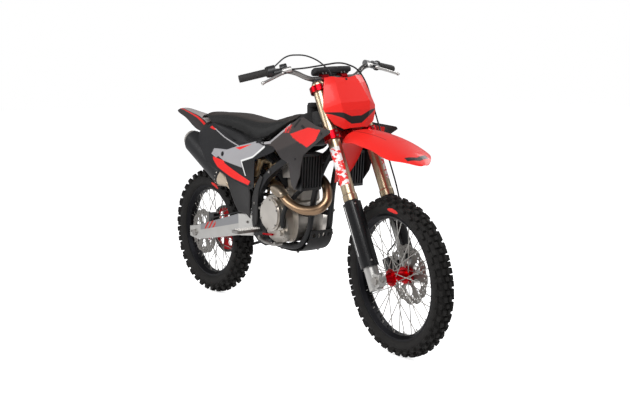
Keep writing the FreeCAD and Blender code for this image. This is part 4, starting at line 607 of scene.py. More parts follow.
CAN_REAR = spot(-6, -116, 820)
can_print = moulded("can_print", (0.014, 0.014, 0.015), 0.36)
can_run = Vector((296, 0, -156)).normalized()
can_reach = can_print.along(can_run, CAN_REAR)
bare_rear = can_print.mask(-0.012 - can_reach, 0.0006)
bare_nose = can_print.mask(can_reach - 0.345, 0.0006)
bare = bare_rear.high(bare_nose)
paint(can_print, (0.014, 0.014, 0.015), [
    (bare_nose, (0.50, 0.42, 0.33)), (bare_rear, (0.58, 0.55, 0.51)),
])
can_print.set(("Metallic", bare))
dress(can_print, "muffler")

# %% [markdown]
# ## Hubs and spokes in one node
# The CAD hub and its spokes are one solid, but a hub is red anodised and its spokes are
# bare steel. The distance from the axle tells them apart: the flanges end where the
# spokes begin.

# %% Hub finishes
def hub_finish(name, axle_place, flange):
    """Red inside the flange's radius and bare steel outside it."""
    finish = metal(name, (0.50, 0.004, 0.010), 0.30, 300.0, 0.00005)
    middle = axle_place.translation
    rotation = axle_place.to_3x3()
    ahead = finish.along(rotation @ Vector((1, 0, 0)), middle)
    above = finish.along(rotation @ Vector((0, 0, 1)), middle)
    reach = finish.sum("SQRT", ahead * ahead + above * above)
    steel = finish.mask(reach - flange, 0.0005)
    return paint(finish, (0.50, 0.004, 0.010), [(steel, (0.34, 0.33, 0.31))])


dress(hub_finish("front_hub_red", front_wheel_place, 0.0385), "front_spoked_hub")
dress(hub_finish("rear_hub_red", rear_wheel_place, 0.0525), "rear_spoked_hub")

# %% [markdown]
# ## Rubber
# A tyre is matt, a little brown with dust, and finely pitted. Its sidewall carries one
# small red oval on each side. Grips are softer rubber, and their ribs are modelled
# further down.

# %% Tyre and grip rubber
OVAL_HALF_LENGTH = 0.036
OVAL_HALF_HEIGHT = 0.0085


def tyre_rubber(name, axle_place, patch_reach, patch_turn_deg):
    """Matt rubber with a plain red oval on its sidewalls."""
    finish = moulded(name, (0.017, 0.0165, 0.016), 0.66, 500.0, 0.0003)
    middle = axle_place.translation
    rotation = axle_place.to_3x3()
    turn = math.radians(patch_turn_deg)
    out = rotation @ Vector((math.cos(turn), 0, math.sin(turn)))
    round_way = rotation @ Vector((-math.sin(turn), 0, math.cos(turn)))
    high = finish.along(out, middle) - patch_reach
    away = finish.along(round_way, middle)
    tall = (high + away * away * 1.6) / OVAL_HALF_HEIGHT
    long = away / OVAL_HALF_LENGTH
    red = finish.mask(1.0 - (tall * tall + long * long), 0.10)
    side_reach = abs(finish.along(rotation @ Vector((0, 1, 0)), middle))
    red = red * finish.mask(side_reach - 0.030, 0.002)
    base = finish.clouds(26.0, (0.0055, 0.0050, 0.0048), (0.014, 0.0130, 0.0120), 4.0)
    return paint(finish, base, [(red, (0.62, 0.03, 0.025))])


front_rubber = tyre_rubber("front_rubber", front_wheel_place, 0.291, 84.0)
rear_rubber = tyre_rubber("rear_rubber", rear_wheel_place, 0.272, 70.0)
grip_rubber = moulded("grip_rubber", (0.030, 0.029, 0.028), 0.62, 300.0, 0.0002)
cord_rubber = moulded("cord_rubber", (0.014, 0.014, 0.015), 0.42, 600.0, 0.0001)
soft_vinyl = moulded("soft_vinyl", (0.022, 0.022, 0.023), 0.56, 480.0, 0.0003)
dress(grip_rubber, "grips")
dress(cord_rubber, "brake_hose", "throttle_cable")
dress(gold_metal, "rear_shock")
dress(smooth_silver, "engine_covers")

# %% Control finish
control_mix = metal("control_mix", (0.50, 0.49, 0.47), 0.36, 200.0, 0.0001)
fore, side, up = steering_axes(control_mix)
wide = abs(side)
housing = control_mix.mask(0.034 - fore - wide * 0.085, 0.001)
housing = housing * control_mix.mask(wide - 0.12, 0.001)
paint(control_mix, control_mix.clouds(20.0, (0.40, 0.39, 0.38), (0.52, 0.51, 0.49)), [
    (housing, (0.010, 0.010, 0.011)),
])
control_mix.set(("Metallic", 1 - housing))
dress(control_mix, "bar_controls")

# %% [markdown]
# ## Ways of working
# An operator acts on all that is selected, and a new primitive comes in selected, so
# every step first clears the selection. A finished piece keeps its place in its mesh,
# sits at the origin and rides on a body of the bike. Small parts that repeat are modelled
# once, copied with a mesh each and joined.

# %% Helpers for modelling
def clear():
    """Leave edit mode and select nothing."""
    if bpy.context.object and bpy.context.object.mode != "OBJECT":
        bpy.ops.object.mode_set(mode="OBJECT")
    bpy.ops.object.select_all(action="DESELECT")


def only(piece):
    """Select one piece and make it active."""
    clear()
    piece.select_set(True)
    bpy.context.view_layer.objects.active = piece
    return piece


def edit(piece, wanted=None, kind="FACE"):
    """Enter edit mode with all selected, or with what passes a test."""
    only(piece)
    bpy.ops.object.mode_set(mode="EDIT")
    bpy.ops.mesh.select_mode(type=kind)
    if wanted:
        pick(piece, wanted, kind)
    else:
        bpy.ops.mesh.select_all(action="SELECT")


def pick(piece, wanted, kind="FACE"):
    """In edit mode, select faces, edges or points whose place and normal pass a test."""
    bpy.ops.mesh.select_all(action="DESELECT")
    mesh = bmesh.from_edit_mesh(piece.data)
    if kind == "FACE":
        for face in mesh.faces:
            face.select_set(wanted(face.calc_center_median(), face.normal))
    elif kind == "EDGE":
        for edge in mesh.edges:
            middle = (edge.verts[0].co + edge.verts[1].co) / 2
            edge.select_set(wanted(middle, edge.verts[0].normal))
    else:
        for vert in mesh.verts:
            vert.select_set(wanted(vert.co, vert.normal))
    mesh.select_flush_mode()
    bmesh.update_edit_mesh(piece.data)


def top(place, normal):
    """A test for the faces that look up."""
    return normal.z > 0.9


def right(place, normal):
    """A test for the faces that look to the bike's right."""
    return normal.y < -0.9


def sink(inset, *shift):
    """Inset the selected faces and move them, in millimetres."""
    bpy.ops.mesh.inset(thickness=inset / 1000)
    bpy.ops.transform.translate(value=mm(*shift))


def outwards(piece):
    """Turn a piece's faces outwards."""
    edit(piece)
    bpy.ops.mesh.normals_make_consistent(inside=False)
    clear()


CUBE = bpy.ops.mesh.primitive_cube_add
CYLINDER = bpy.ops.mesh.primitive_cylinder_add
CONE = bpy.ops.mesh.primitive_cone_add
TORUS = bpy.ops.mesh.primitive_torus_add
CIRCLE = bpy.ops.mesh.primitive_circle_add
GRID = bpy.ops.mesh.primitive_grid_add


def solid(add, place=(0, 0, 0), scale=(1, 1, 1), **settings):
    """A new primitive, its place, turn and scale written into its mesh."""
    clear()
    add(location=place, **settings)
    piece = bpy.context.object
    piece.scale = scale
    bpy.ops.object.transform_apply(location=True, rotation=True, scale=True)
    return piece


def modify(piece, kind, **settings):
    """Add a modifier and apply it."""
    only(piece)
    modifier = piece.modifiers.new(kind.lower(), kind)
    for name, value in settings.items():
        setattr(modifier, name, value)
    bpy.ops.object.modifier_apply(modifier=modifier.name)
    return piece


def join(parts, name):
    """Join parts in one object."""
    clear()
    for part in parts:
        part.select_set(True)
    bpy.context.view_layer.objects.active = parts[0]
    if len(parts) > 1:
        bpy.ops.object.join()
    parts[0].name = name
    return parts[0]


def copies(model, places, name):
    """Copy a model to each place, with a mesh each, join the copies and drop the model."""
    made = []
    for place in places:
        data = model.data.copy()
        data.transform(place @ model.matrix_basis)
        copy = bpy.data.objects.new(name, data)
        scene.collection.objects.link(copy)
        made.append(copy)
    bpy.data.objects.remove(model)
    return join(made, name)


def punch(piece, drills):
    """Cut a piece with drills, which are joined first."""
    cutter = join(drills, "drills")
    modify(piece, "BOOLEAN", object=cutter, operation="DIFFERENCE", solver="EXACT")
    bpy.data.objects.remove(cutter)


def settle(piece, name, body, finish, place=Matrix(), stands_for=(), angle=38.0):
    """Finish a piece: its place goes into its mesh, and it rides on a body."""
    only(piece)
    piece.data.transform(place @ piece.matrix_basis)
    piece.matrix_basis = Matrix()
    piece.name = name
    piece.data.name = name
    piece.data.materials.clear()
    piece.data.materials.append(finish.material)
    bpy.ops.object.shade_smooth_by_angle(angle=math.radians(angle))
    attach(piece, body)
    if stands_for:
        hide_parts(*stands_for)
    print(name, "faces:", len(piece.data.polygons))
    return piece


def mm(*sizes):
    """Millimetres to metres."""
    return tuple(size / 1000 for size in sizes)


ACROSS = (math.pi / 2, 0, 0)


# %% [markdown]
# ## Knobbly tyres
# A cross tyre is a round casing with rows of rubber blocks: pairs in the middle of the
# tread, single ones on its flanks and long ones at its shoulders. The casing starts as a
# torus squeezed to the tyre's section, and one block of each kind is a cube with a
# narrowed top and bevelled edges. The blocks are copied round the casing, square to its
# curve, so each stands out of it as a moulded block does.

# %% Blocks and casing
BLOCK_ROOT = 4


def tread_block(width, length, height):
    """One block, its foot on the origin and its top along z."""
    middle = mm(0, 0, (height - BLOCK_ROOT) / 2)
    block = solid(CUBE, middle, mm(length, width, height + BLOCK_ROOT), size=1)
    edit(block, top)
    bpy.ops.transform.resize(value=(0.80, 0.84, 1))
    edit(block, lambda place, normal: place.z > 0, "EDGE")
    bpy.ops.mesh.bevel(offset=0.0012, segments=1, affect="EDGES")
    clear()
    return block


def knobbly_tyre(name, radius, bead, width, block_height, pitch_count, body, place, finish):
    """A casing with its rows of blocks, about the wheel's own axle along y."""
    crown = radius - block_height
    middle = (crown + bead - 6) / 2
    rise = crown - middle
    half = width / 2 - 6
    casing = solid(
        TORUS, major_radius=middle / 1000, minor_radius=rise / 1000,
        major_segments=120, minor_segments=20, rotation=ACROSS,
    )
    edit(casing)
    bpy.ops.transform.resize(value=(1, half / rise, 1))
    clear()

    def seat_of(turn_deg, lean_deg):
        """The place of a block at a turn round the wheel and a lean across the tread."""
        lean = math.radians(lean_deg)
        y = half * math.sin(lean)
        out = middle + rise * math.cos(lean)
        tilt = math.atan2(math.sin(lean) / half, math.cos(lean) / rise)
        return (
            Matrix.Rotation(math.radians(turn_deg), 4, "Y")
            @ Matrix.Translation(mm(0, y, out)) @ Matrix.Rotation(-tilt, 4, "X")
        )

    step = 360 / pitch_count
    pitch = 2 * math.pi * crown / pitch_count
    rows = [
        (tread_block(width * 0.165, pitch * 0.50, block_height), 0.0, (-14, 14)),
        (tread_block(width * 0.155, pitch * 0.46, block_height), 0.5, (-37, 37)),
        (tread_block(width * 0.150, pitch * 0.52, block_height * 0.95), 0.0, (-62, 62)),
        (tread_block(width * 0.16, pitch * 0.38, block_height * 0.96), 0.5, (0,)),
    ]
    parts = [casing]
    for number, (block, shift, leans) in enumerate(rows):
        places = [
            seat_of((turn + shift) * step, lean) for turn in range(pitch_count) for lean in leans
        ]
        parts.append(copies(block, places, name + "_row"))
    whole = join(parts, name)
    node = body.replace("wheel", "tyre")
    return settle(whole, name, body, finish, place, (node,), 30.0)


knobbly_tyre(
    "front_knobbly_tyre", 342, 266, 90, 14, 38, "front_wheel", front_wheel_place, front_rubber
)
knobbly_tyre(
    "rear_knobbly_tyre", 334, 241, 110, 17, 34, "rear_wheel", rear_wheel_place, rear_rubber
)

# %% [markdown]
# ## Wave discs
# Both brake discs have wavy edges and rows of holes, which shed mud. A flat ring is cut
# from a cylinder, every second stretch of its rim is drawn in a little, and the slots
# and holes are cut by one Boolean with all the drills joined.

# %% Discs
WAVES = 12
ARMS = 6
WAVE_HOLES = ((9, 0, 3.6), (14, 0.7, 4.2), (22, 1.35, 4.2), (21, 0.15, 4.0), (35, 1, 8.0))


def wave_disc(name, radius, y, body, place, node):
    """A wavy brake disc with its carrier arms."""
    plate = solid(
        CYLINDER, mm(0, y, 0), vertices=144, radius=radius / 1000, depth=0.004, rotation=ACROSS
    )
    edit(plate, lambda place, normal: math.cos(WAVES * math.atan2(place.z, place.x)) < -0.1, "VERT")
    bpy.ops.transform.resize(value=(0.955, 1, 0.955))
    clear()
    drills = []

    def drill(out, turn, bore, sides=16):
        bpy.ops.mesh.primitive_cylinder_add(
            vertices=sides, radius=bore / 1000, depth=0.03, rotation=ACROSS,
            location=mm(out * math.cos(turn), y, out * math.sin(turn)),
        )
        drills.append(bpy.context.object)

    drill(0, 0, 26, 48)
    for number in range(WAVES):
        turn = 2 * math.pi * number / WAVES
        for inset, share, bore in WAVE_HOLES:
            drill(radius - inset, turn + math.pi / WAVES * share, bore)
    for number in range(ARMS):
        turn = 2 * math.pi * (number + 0.5) / ARMS
        drill((radius + 6) / 2, turn, (radius - 62) * 0.36, 24)
    punch(plate, drills)
    modify(plate, "BEVEL", width=0.0004, segments=1, limit_method="ANGLE")
    return settle(plate, name, body, disc_steel, place, (node,), 30.0)


wave_disc("front_wave_disc", 130, 58, "front_wheel", front_wheel_place, "front_disc")
wave_disc("rear_wave_disc", 120, -61, "rear_wheel", rear_wheel_place, "rear_disc")

# %% [markdown]
# ## The saddle
# A cross saddle is foam under a stretched cover: narrow, nearly flat along the back,
# and rising on to the tank. Its body is a copy of the CAD solid, made a little slimmer,
# and the cloth simulation swells the cover so that its edges round off as foam does.

# %% Seat and bar pad
FOAM_SHRINK = 0.004
CLOTH_FRAMES = 20


def swell(name, node, body, finish, voxel, pressure, cap):
    """A padded piece from a CAD solid: remeshed, swollen by cloth pressure and smoothed."""
    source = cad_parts[node]
    data = source.data.copy()
    pad = bpy.data.objects.new(name, data)
    scene.collection.objects.link(pad)
    data.transform(source.matrix_world)
    edit(pad, kind="VERT")
    bpy.ops.mesh.remove_doubles(threshold=0.00002)
    outwards(pad)
    modify(pad, "REMESH", mode="VOXEL", voxel_size=voxel)
    edit(pad, kind="VERT")
    bpy.ops.transform.shrink_fatten(value=-FOAM_SHRINK)
    clear()
    start = [point.co.copy() for point in pad.data.vertices]
    only(pad)
    cover = pad.modifiers.new("cover", "CLOTH")
    cover.settings.use_pressure = True
    cover.settings.uniform_pressure_force = pressure
    cover.settings.effector_weights.gravity = 0
    cover.settings.tension_stiffness = 30
    cover.settings.quality = 6
    scene.frame_start = 1
    for number in range(1, CLOTH_FRAMES + 1):
        scene.frame_set(number)
    bpy.ops.object.modifier_apply(modifier=cover.name)
    scene.frame_set(1)
    for point, before in zip(pad.data.vertices, start):
        step = point.co - before
        if step.length > cap:
            point.co = before + step.normalized() * cap
    modify(pad, "SMOOTH", factor=0.5, iterations=3)
    settle(pad, name, body, finish, stands_for=(node,), angle=60.0)
    return pad


saddle_cover = moulded("saddle_cover", (0.020, 0.018, 0.017), 0.54, 620.0, 0.0004)
saddle_x = side_axes(saddle_cover)[0]
saddle_y = abs(saddle_cover.along((0, 1, 0), (0, 0, 0)))
grain = saddle_cover.node(
    "ShaderNodeTexVoronoi", {"feature": "DISTANCE_TO_EDGE"},
    {"Vector": saddle_cover.place, "Scale": 520.0},
)
seam = abs(saddle_y - (0.066 - saddle_x * 0.01))
seam_line = saddle_cover.mask(0.0010 - seam, 0.0008)
on_top = saddle_cover.mask(0.060 - saddle_y, 0.008)
relief = grain * 0.5 - seam_line * 1.2
saddle_cover.set(
    ("Base Color", saddle_cover.mix(on_top, (0.014, 0.014, 0.014), (0.036, 0.030, 0.027))),
    ("Roughness", saddle_cover.noise(14.0) * 0.14 + 0.46),
)
saddle_cover.bump(relief, 0.0006)
swell("saddle", "seat", "chassis", saddle_cover, 0.006, 3.0, 0.006)
swell("bar_cushion", "bar_pad", "steering", soft_vinyl, 0.0045, 3.5, 0.005)

# %% [markdown]
# ## Fasteners on real surfaces
# A bolt head has to sit on the part that it holds. A straight line from outside the bike
# finds that place: where it first meets the CAD node is the seat, and the head stands
# back along the line. One flanged hexagon head is modelled from a six-sided cylinder
# with an inset socket, and copied to all its seats.

# %% Seats and heads
def facing(place, way, turn_deg=0.0):
    """A matrix that puts a part's z axis along a direction, at a place."""
    turned = Vector(way).to_track_quat("Z", "Y").to_matrix().to_4x4()
    return Matrix.Translation(place) @ turned @ Matrix.Rotation(math.radians(turn_deg), 4, "Z")


OUTSIDE = 500
HEAD_TURN = 15.0
surfaces = {}


def landing(node, start, way):
    """The seat where a straight line from outside first meets a CAD node, if it does."""
    if node not in surfaces:
        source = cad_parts[node]
        points = [source.matrix_world @ vertex.co for vertex in source.data.vertices]
        faces = [tuple(face.vertices) for face in source.data.polygons]
        surfaces[node] = BVHTree.FromPolygons(points, faces)
    place = surfaces[node].ray_cast(start, way)[0]
    return [facing(place, -way, HEAD_TURN)] if place else []


def side_seats(node, places, sides=(-1, 1)):
    """Seats on the sides of a node, given by x and z in millimetres."""
    return [
        seat for side in sides for x, z in places
        for seat in landing(node, spot(x, side * OUTSIDE, z), Vector((0, -side, 0)))
    ]


def steering_seats(node, places, way):
    """Seats on a node of the steering, given forward, across and up from the stem's foot."""
    turned = steering_place.to_3x3() @ Vector(way)
    return [
        seat for place in places
        for seat in landing(node, steering_place @ Vector(mm(*place)) + turned * 0.3, -turned)
    ]


def ring(middle, radius, count, start_deg=0.0):
    """Places on a circle, as pairs in millimetres."""
    x, z = middle
    turns = [math.radians(start_deg + 360 * number / count) for number in range(count)]
    return [(x + radius * math.cos(turn), z + radius * math.sin(turn)) for turn in turns]


def bolt_head(across, height):
    """A flanged hexagon head with a socket, its seat on the origin."""
    head = solid(
        CYLINDER, mm(0, 0, height / 2), vertices=6, radius=across / 1732, depth=height / 1000
    )
    edit(head, top)
    sink(across * 0.08, 0, 0, height * 0.12)
    sink(across * 0.14, 0, 0, -height * 0.5)
    pick(head, lambda place, normal: normal.z < -0.9)
    bpy.ops.mesh.extrude_region_move(TRANSFORM_OT_translate={"value": mm(0, 0, -0.1)})
    bpy.ops.transform.resize(value=(1.32, 1.32, 1))
    bpy.ops.mesh.extrude_region_move(TRANSFORM_OT_translate={"value": mm(0, 0, -1.2)})
    clear()
    return head


def bolts(name, seats, across, height, body, finish=bare_steel):
    """Heads of one size at all their seats, as one piece."""
    print(name, "seats:", len(seats))
    head = copies(bolt_head(across, height), seats, name)
    return settle(head, name, body, finish, angle=25.0)


# %% Bolts of the chassis and the engine
case_rim = [
    (712, 602), (764, 604), (802, 570), (838, 516), (848, 462), (824, 416), (762, 403), (706, 425),
]
for name, places, side, across, height in (
    ("case_bolts", case_rim, -1, 8, 5),
    ("clutch_bolts", ring((741, 526), 70, 6, 20), -1, 7, 4),
    ("pump_bolts", ring((826, 448), 20, 4, 45), -1, 6, 4),
    ("ignition_bolts", ring((800, 470), 63, 7, 10), 1, 7, 4),
):
    bolts(name, side_seats("engine_covers", places, (side,)), across, height, "chassis")
bolts("cylinder_bolts", side_seats("engine_top_end", [
    (772, 640), (850, 640), (772, 690), (852, 690), (778, 760), (846, 760),
]), 9, 6, "chassis")
frame_places = [(652, 392), (628, 540), (592, 560), (588, 640), (720, 722)]
bolts("mount_bolts", side_seats("frame_cradle", [(880, 528), (955, 552)])
      + side_seats("main_frame", frame_places), 13, 7, "chassis")
bolts("pivot_nuts", side_seats("main_frame", [(600, 432)]), 24, 10, "chassis")
shroud_places = [(1196, 930), (716, 862), (1020, 812), (962, 720)]
bolts("panel_bolts", side_seats("side_panels", [(572, 645), (365, 783), (640, 858)])
      + side_seats("shrouds", shroud_places), 9, 3.5, "chassis", dark_metal)
bolts("skid_bolts", [
    seat for y in (-58, 58) for x in (720, 850)
    for seat in landing("skid_plate", spot(x, y, 100), Vector((0, 0, 1)))
], 9, 4, "chassis")
arm_places = [(-38, 336), (24, 338), (486, 452), (520, 414)]
bolts("arm_bolts", side_seats("swingarm", arm_places), 10, 5, "chassis")

# %% Bolts of the steering
AHEAD = (1, 0, 0)
ABOVE = (0, 0, 1)
LEGS = (-95, 95)
fork_tops = steering_seats("fork_outer_tubes", [(22, side, 900) for side in LEGS], ABOVE)
clamp_edges = [(22, side, up) for side in LEGS for up in (648, 668, 872, 886)]
bar_clamps = [(fore, side, 930) for fore in (-4, 28) for side in (-56, -40, 40, 56)]
feet = [(40, side, up) for side in LEGS for up in (-14, 16)]
guard_sides = [(22, side, up) for side in LEGS for up in (90, 340)]
for name, seats, across, height, finish in (
    ("clamp_bolts", steering_seats("triple_clamps", clamp_edges, AHEAD), 7, 6, bare_steel),
    ("bar_clamp_bolts", steering_seats("triple_clamps", bar_clamps, ABOVE), 7, 7, bare_steel),
    ("stem_nut", steering_seats("triple_clamps", [(0, 0, 900)], ABOVE), 30, 9, bare_steel),
    ("fork_caps", fork_tops, 34, 9, dark_metal),
    ("fork_adjusters", [seat @ Matrix.Translation(mm(0, 0, 5)) for seat in fork_tops],
     15, 8, blue_metal),
    ("foot_bolts", steering_seats("fork_legs", feet, AHEAD), 8, 6, bare_steel),
    ("guard_bolts", steering_seats("fork_guards", guard_sides, (0.9, -0.2, 0)), 7, 3.5, bare_steel),
    ("plate_bolt", steering_seats("number_plate", [(100, 0, 884)], AHEAD), 9, 3, dark_metal),
):
    bolts(name, seats, across, height, "steering", finish)

# %% [markdown]
# The disc and sprocket bolts turn with the wheels. Their seats are rings about each
# axle, measured in the wheel's own axes.

# %% Wheel bolts and nipples
def wheel_seats(node, place, radius, count, side, start_deg=0.0):
    """Seats on a ring about a wheel's axle, met from one side."""
    way = place.to_3x3() @ Vector((0, side, 0))
    return [
        seat for x, z in ring((0, 0), radius, count, start_deg)
        for seat in landing(node, place @ Vector(mm(x, side * 200, z)), -way)
    ]


front_ring = wheel_seats("front_disc", front_wheel_place, 34, 6, 1)
rear_ring = wheel_seats("rear_disc", rear_wheel_place, 34, 6, -1)
sprocket_ring = wheel_seats("rear_sprocket", rear_wheel_place, 46, 6, 1, 30)
bolts("front_disc_bolts", front_ring, 8, 4, "front_wheel")
bolts("rear_disc_bolts", rear_ring, 8, 4, "rear_wheel")
bolts("sprocket_bolts", sprocket_ring, 9, 5, "rear_wheel")
SPOKES = 36


def nipples(name, node, place, body):
    """Spoke nipples on the inner side of a rim."""
    seats = []
    for number in range(SPOKES):
        turn = Matrix.Rotation(2 * math.pi * (number + 0.5) / SPOKES, 4, "Y")
        lean = 9 if number % 2 else -9
        start = place @ turn @ Vector(mm(0, lean, 120))
        way = (place @ turn).to_3x3() @ Vector((0, 0, 1))
        seats += landing(node, start, way)
    barrel = solid(CYLINDER, mm(0, 0, 5), vertices=6, radius=0.0034, depth=0.014)
    edit(barrel, top)
    bpy.ops.transform.resize(value=(0.7, 0.7, 1))
    clear()
    return settle(copies(barrel, seats, name), name, body, bare_steel, angle=25.0)


nipples("front_nipples", "front_rim", front_wheel_place, "front_wheel")
nipples("rear_nipples", "rear_rim", rear_wheel_place, "rear_wheel")

# %% [markdown]
# ## The drive chain
# A roller chain alternates wide and narrow pairs of plates, pinned through rollers. Its
# loop follows both sprockets' pitch circles and the straight runs between them, so a
# place for each link comes from walking round that loop by one pitch at a time.

# %% Chain
PITCH = 15.875
REAR_TEETH = 48
FRONT_TEETH = 13
CHAIN_SIDE = 76
REAR_PITCH_RADIUS = PITCH / 2 / math.sin(math.pi / REAR_TEETH)
FRONT_PITCH_RADIUS = PITCH / 2 / math.sin(math.pi / FRONT_TEETH)
SPROCKETS = (Vector((0, 334)), Vector((663.2, 447.4)))


def arc(middle, radius, start, sweep, count):
    """Points along an arc, both of its ends included."""
    turns = [start + sweep * number / count for number in range(count + 1)]
    return [middle + Vector((math.cos(turn), math.sin(turn))) * radius for turn in turns]


def chain_walk():
    """Points one pitch apart round both sprockets, in millimetres."""
    rear, front = SPROCKETS
    span = front - rear
    heading = math.atan2(span.y, span.x)
    spread = math.acos((REAR_PITCH_RADIUS - FRONT_PITCH_RADIUS) / span.length)
    path = arc(front, FRONT_PITCH_RADIUS, heading + spread, -2 * spread, 60)
    path += arc(rear, REAR_PITCH_RADIUS, heading - spread, 2 * spread - 2 * math.pi, 180)
    path.append(path[0])
    total = sum((second - first).length for first, second in zip(path, path[1:]))
    count = 2 * round(total / PITCH / 2)
    walk = []
    gone = 0.0
    for first, second in zip(path, path[1:]):
        stride = (second - first).length
        while len(walk) < count and len(walk) * total / count <= gone + stride:
            share = (len(walk) * total / count - gone) / stride if stride else 0.0
            walk.append(first.lerp(second, share))
        gone += stride
    return walk


def link_plate(half_gap):
    """A pair of plates with rounded ends, from one pin to the next along x."""
    pair = []
    for side in (-1, 1):
        plate = solid(
            CYLINDER, mm(0, side * half_gap, 0),
            vertices=12, radius=0.0072, depth=0.0018, rotation=ACROSS,
        )
        edit(plate, lambda place, normal: place.x > 0.001, "VERT")
        bpy.ops.transform.translate(value=mm(PITCH, 0, 0))
        pair.append(plate)
    pin = solid(
        CYLINDER, vertices=8, radius=0.0044, depth=half_gap * 2.1 / 1000, rotation=ACROSS
    )
    return join(pair + [pin], "links")


steps = chain_walk()
link_places = []
for first, second in zip(steps, steps[1:] + steps[:1]):
    along = (second - first).normalized()
    link_places.append(as_matrix(
        Vector((along.x, 0, along.y)), Vector((0, 1, 0)), Vector((-along.y, 0, along.x)),
        spot(first.x, CHAIN_SIDE, first.y),
    ))
wide_links = copies(link_plate(6.3), link_places[0::2], "wide_links")
narrow_links = copies(link_plate(4.4), link_places[1::2], "narrow_links")
drive_chain = join([wide_links, narrow_links], "drive_chain")
settle(drive_chain, "drive_chain", "chassis", chain_metal, stands_for=("chain",), angle=30.0)
print("links:", len(steps))

# %% [markdown]
# ## Moulded guards
# A dark moulded plate shields the frame where boots rub it, and another closes the gap
# below each side panel. Each is a thin plate whose outline is drawn point by point. Its
# middle is pressed out, and it gets a wall and bevelled edges.

# %% Guards
def moulded_plate(name, outline):
    """A pair of plates through (x, y, z) points in millimetres, given for the left one."""
    made = []
    for side in (-1, 1):
        plate = solid(CIRCLE, vertices=len(outline), radius=0.1, fill_type="NGON")
        for vertex, (x, y, z) in zip(plate.data.vertices, outline):
            vertex.co = spot(x, y * side, z)
        edit(plate)
        sink(7, 0, side * 3, 0)
        sink(6, 0, -side * 1.6, 0)
        outwards(plate)
        modify(plate, "SOLIDIFY", thickness=0.003, offset=0.0)
        modify(plate, "BEVEL", width=0.0009, segments=2, limit_method="ANGLE")
        outwards(plate)
        made.append(plate)
    return settle(join(made, name), name, "chassis", guard_plastic, angle=35.0)


guard_plastic = moulded("guard_plastic", (0.022, 0.021, 0.021), 0.44)
moulded_plate("frame_guards", [
    (646, 128, 700), (664, 128, 690), (630, 128, 626), (620, 128, 563), (619, 128, 504),
    (614, 128, 458), (590, 127, 440), (572, 127, 470), (566, 127, 530), (574, 128, 590),
    (598, 128, 645),
])
moulded_plate("lower_guards", [
    (380, 142, 700), (480, 143, 668), (560, 141, 648), (572, 138, 600), (558, 132, 540),
    (552, 127, 480), (510, 124, 498), (446, 126, 500), (418, 131, 540), (386, 139, 606),
    (352, 142, 672),
])

# %% [markdown]
# ## Heat shield, hoses and small hardware
# The header carries a pressed heat shield beside the cylinder: a box with soft edges and
# an oval dish. Coolant runs in thick rubber hoses, the brake's and the clutch's lines are
# thin, and all of them are drawn as smooth curves through a few points.

# %% Heat shield
SHIELD_TURN = (0, math.radians(13), math.radians(-7))
shield = solid(CUBE, spot(806, -124, 640), mm(128, 52, 54), size=1, rotation=SHIELD_TURN)
edit(shield, right)
sink(10, 0, -6, 0)
sink(7, 0, 5, 0)
modify(shield, "SUBSURF", levels=3, render_levels=3)
shield_steel = metal("shield_steel", (0.40, 0.33, 0.25), 0.34, 40.0, 0.0004)
settle(shield, "heat_shield", "chassis", shield_steel, angle=50.0)


# %% Hoses
def hose(name, points, radius, body, finish, place=None):
    """A smooth round hose through control points in millimetres."""
    clear()
    curve = bpy.data.curves.new(name, "CURVE")
    curve.dimensions = "3D"
    curve.bevel_depth = radius / 1000
    curve.bevel_resolution = 3
    curve.resolution_u = 8
    curve.use_fill_caps = True
    line = curve.splines.new("NURBS")
    line.points.add(len(points) - 1)
    for point, at_place in zip(line.points, points):
        point.co = (*(place @ Vector(mm(*at_place)) if place else spot(*at_place)), 1.0)
    line.order_u = 3
    line.use_endpoint_u = True
    piece = bpy.data.objects.new(name, curve)
    scene.collection.objects.link(piece)
    only(piece)
    bpy.ops.object.convert(target="MESH")
    return settle(bpy.context.object, name, body, finish, angle=60.0)


hose_rubber = moulded("hose_rubber", (0.012, 0.012, 0.012), 0.5, 300.0, 0.0001)
hose("lower_coolant_hose", [
    (828, -126, 466), (834, -136, 500), (842, -136, 545), (848, -112, 585), (864, -84, 620),
    (915, -78, 662), (1004, -88, 692),
], 11, "chassis", hose_rubber)
hose("upper_coolant_hose", [
    (868, 40, 742), (905, 52, 772), (950, 76, 800), (1010, 90, 806),
], 11, "chassis", hose_rubber)
hose("rear_brake_hose", [
    (610, -96, 470), (575, -112, 500), (510, -112, 508), (430, -120, 497), (330, -118, 470),
    (230, -114, 448), (150, -104, 430), (112, -86, 410), (96, -74, 396),
], 3.4, "chassis", cord_rubber)
hose("spark_lead", [
    (812, -20, 782), (816, -26, 812), (846, -34, 822), (890, -30, 828),
], 3.6, "chassis", hose_rubber)
hose("clutch_cable", [
    (-18, 212, 994), (20, 170, 985), (64, 120, 950), (70, 96, 860), (40, 60, 790),
], 3.0, "steering", cord_rubber, steering_place)

# %% [markdown]
# ## Covers and the skid plate
# A gloss black strip joins the saddle's edge to each side panel, where the air filter
# lies. It is a grid of two rows whose points are given one by one. The skid plate is a
# moulded tray that sags between the frame's tubes, so it starts as a grid too, laid
# along the frame's underside, and its mud holes are cut with one Boolean.

# %% Filter covers
cover_rows = [
    [
        (130, 70, 931), (230, 72, 920), (340, 74, 903), (450, 76, 881), (585, 78, 866),
        (665, 72, 892),
    ],
    [
        (130, 117, 904), (230, 121, 915), (340, 137, 884), (450, 145, 848), (580, 144, 846),
        (655, 141, 864),
    ],
]


def sheet_of(name, rows):
    """A grid whose points are given row by row, in metres."""
    sheet = solid(
        GRID, x_subdivisions=len(rows[0]) - 1, y_subdivisions=len(rows) - 1, size=1
    )
    sheet.name = name
    for vertex, place in zip(sheet.data.vertices, [place for row in rows for place in row]):
        vertex.co = place
    return sheet


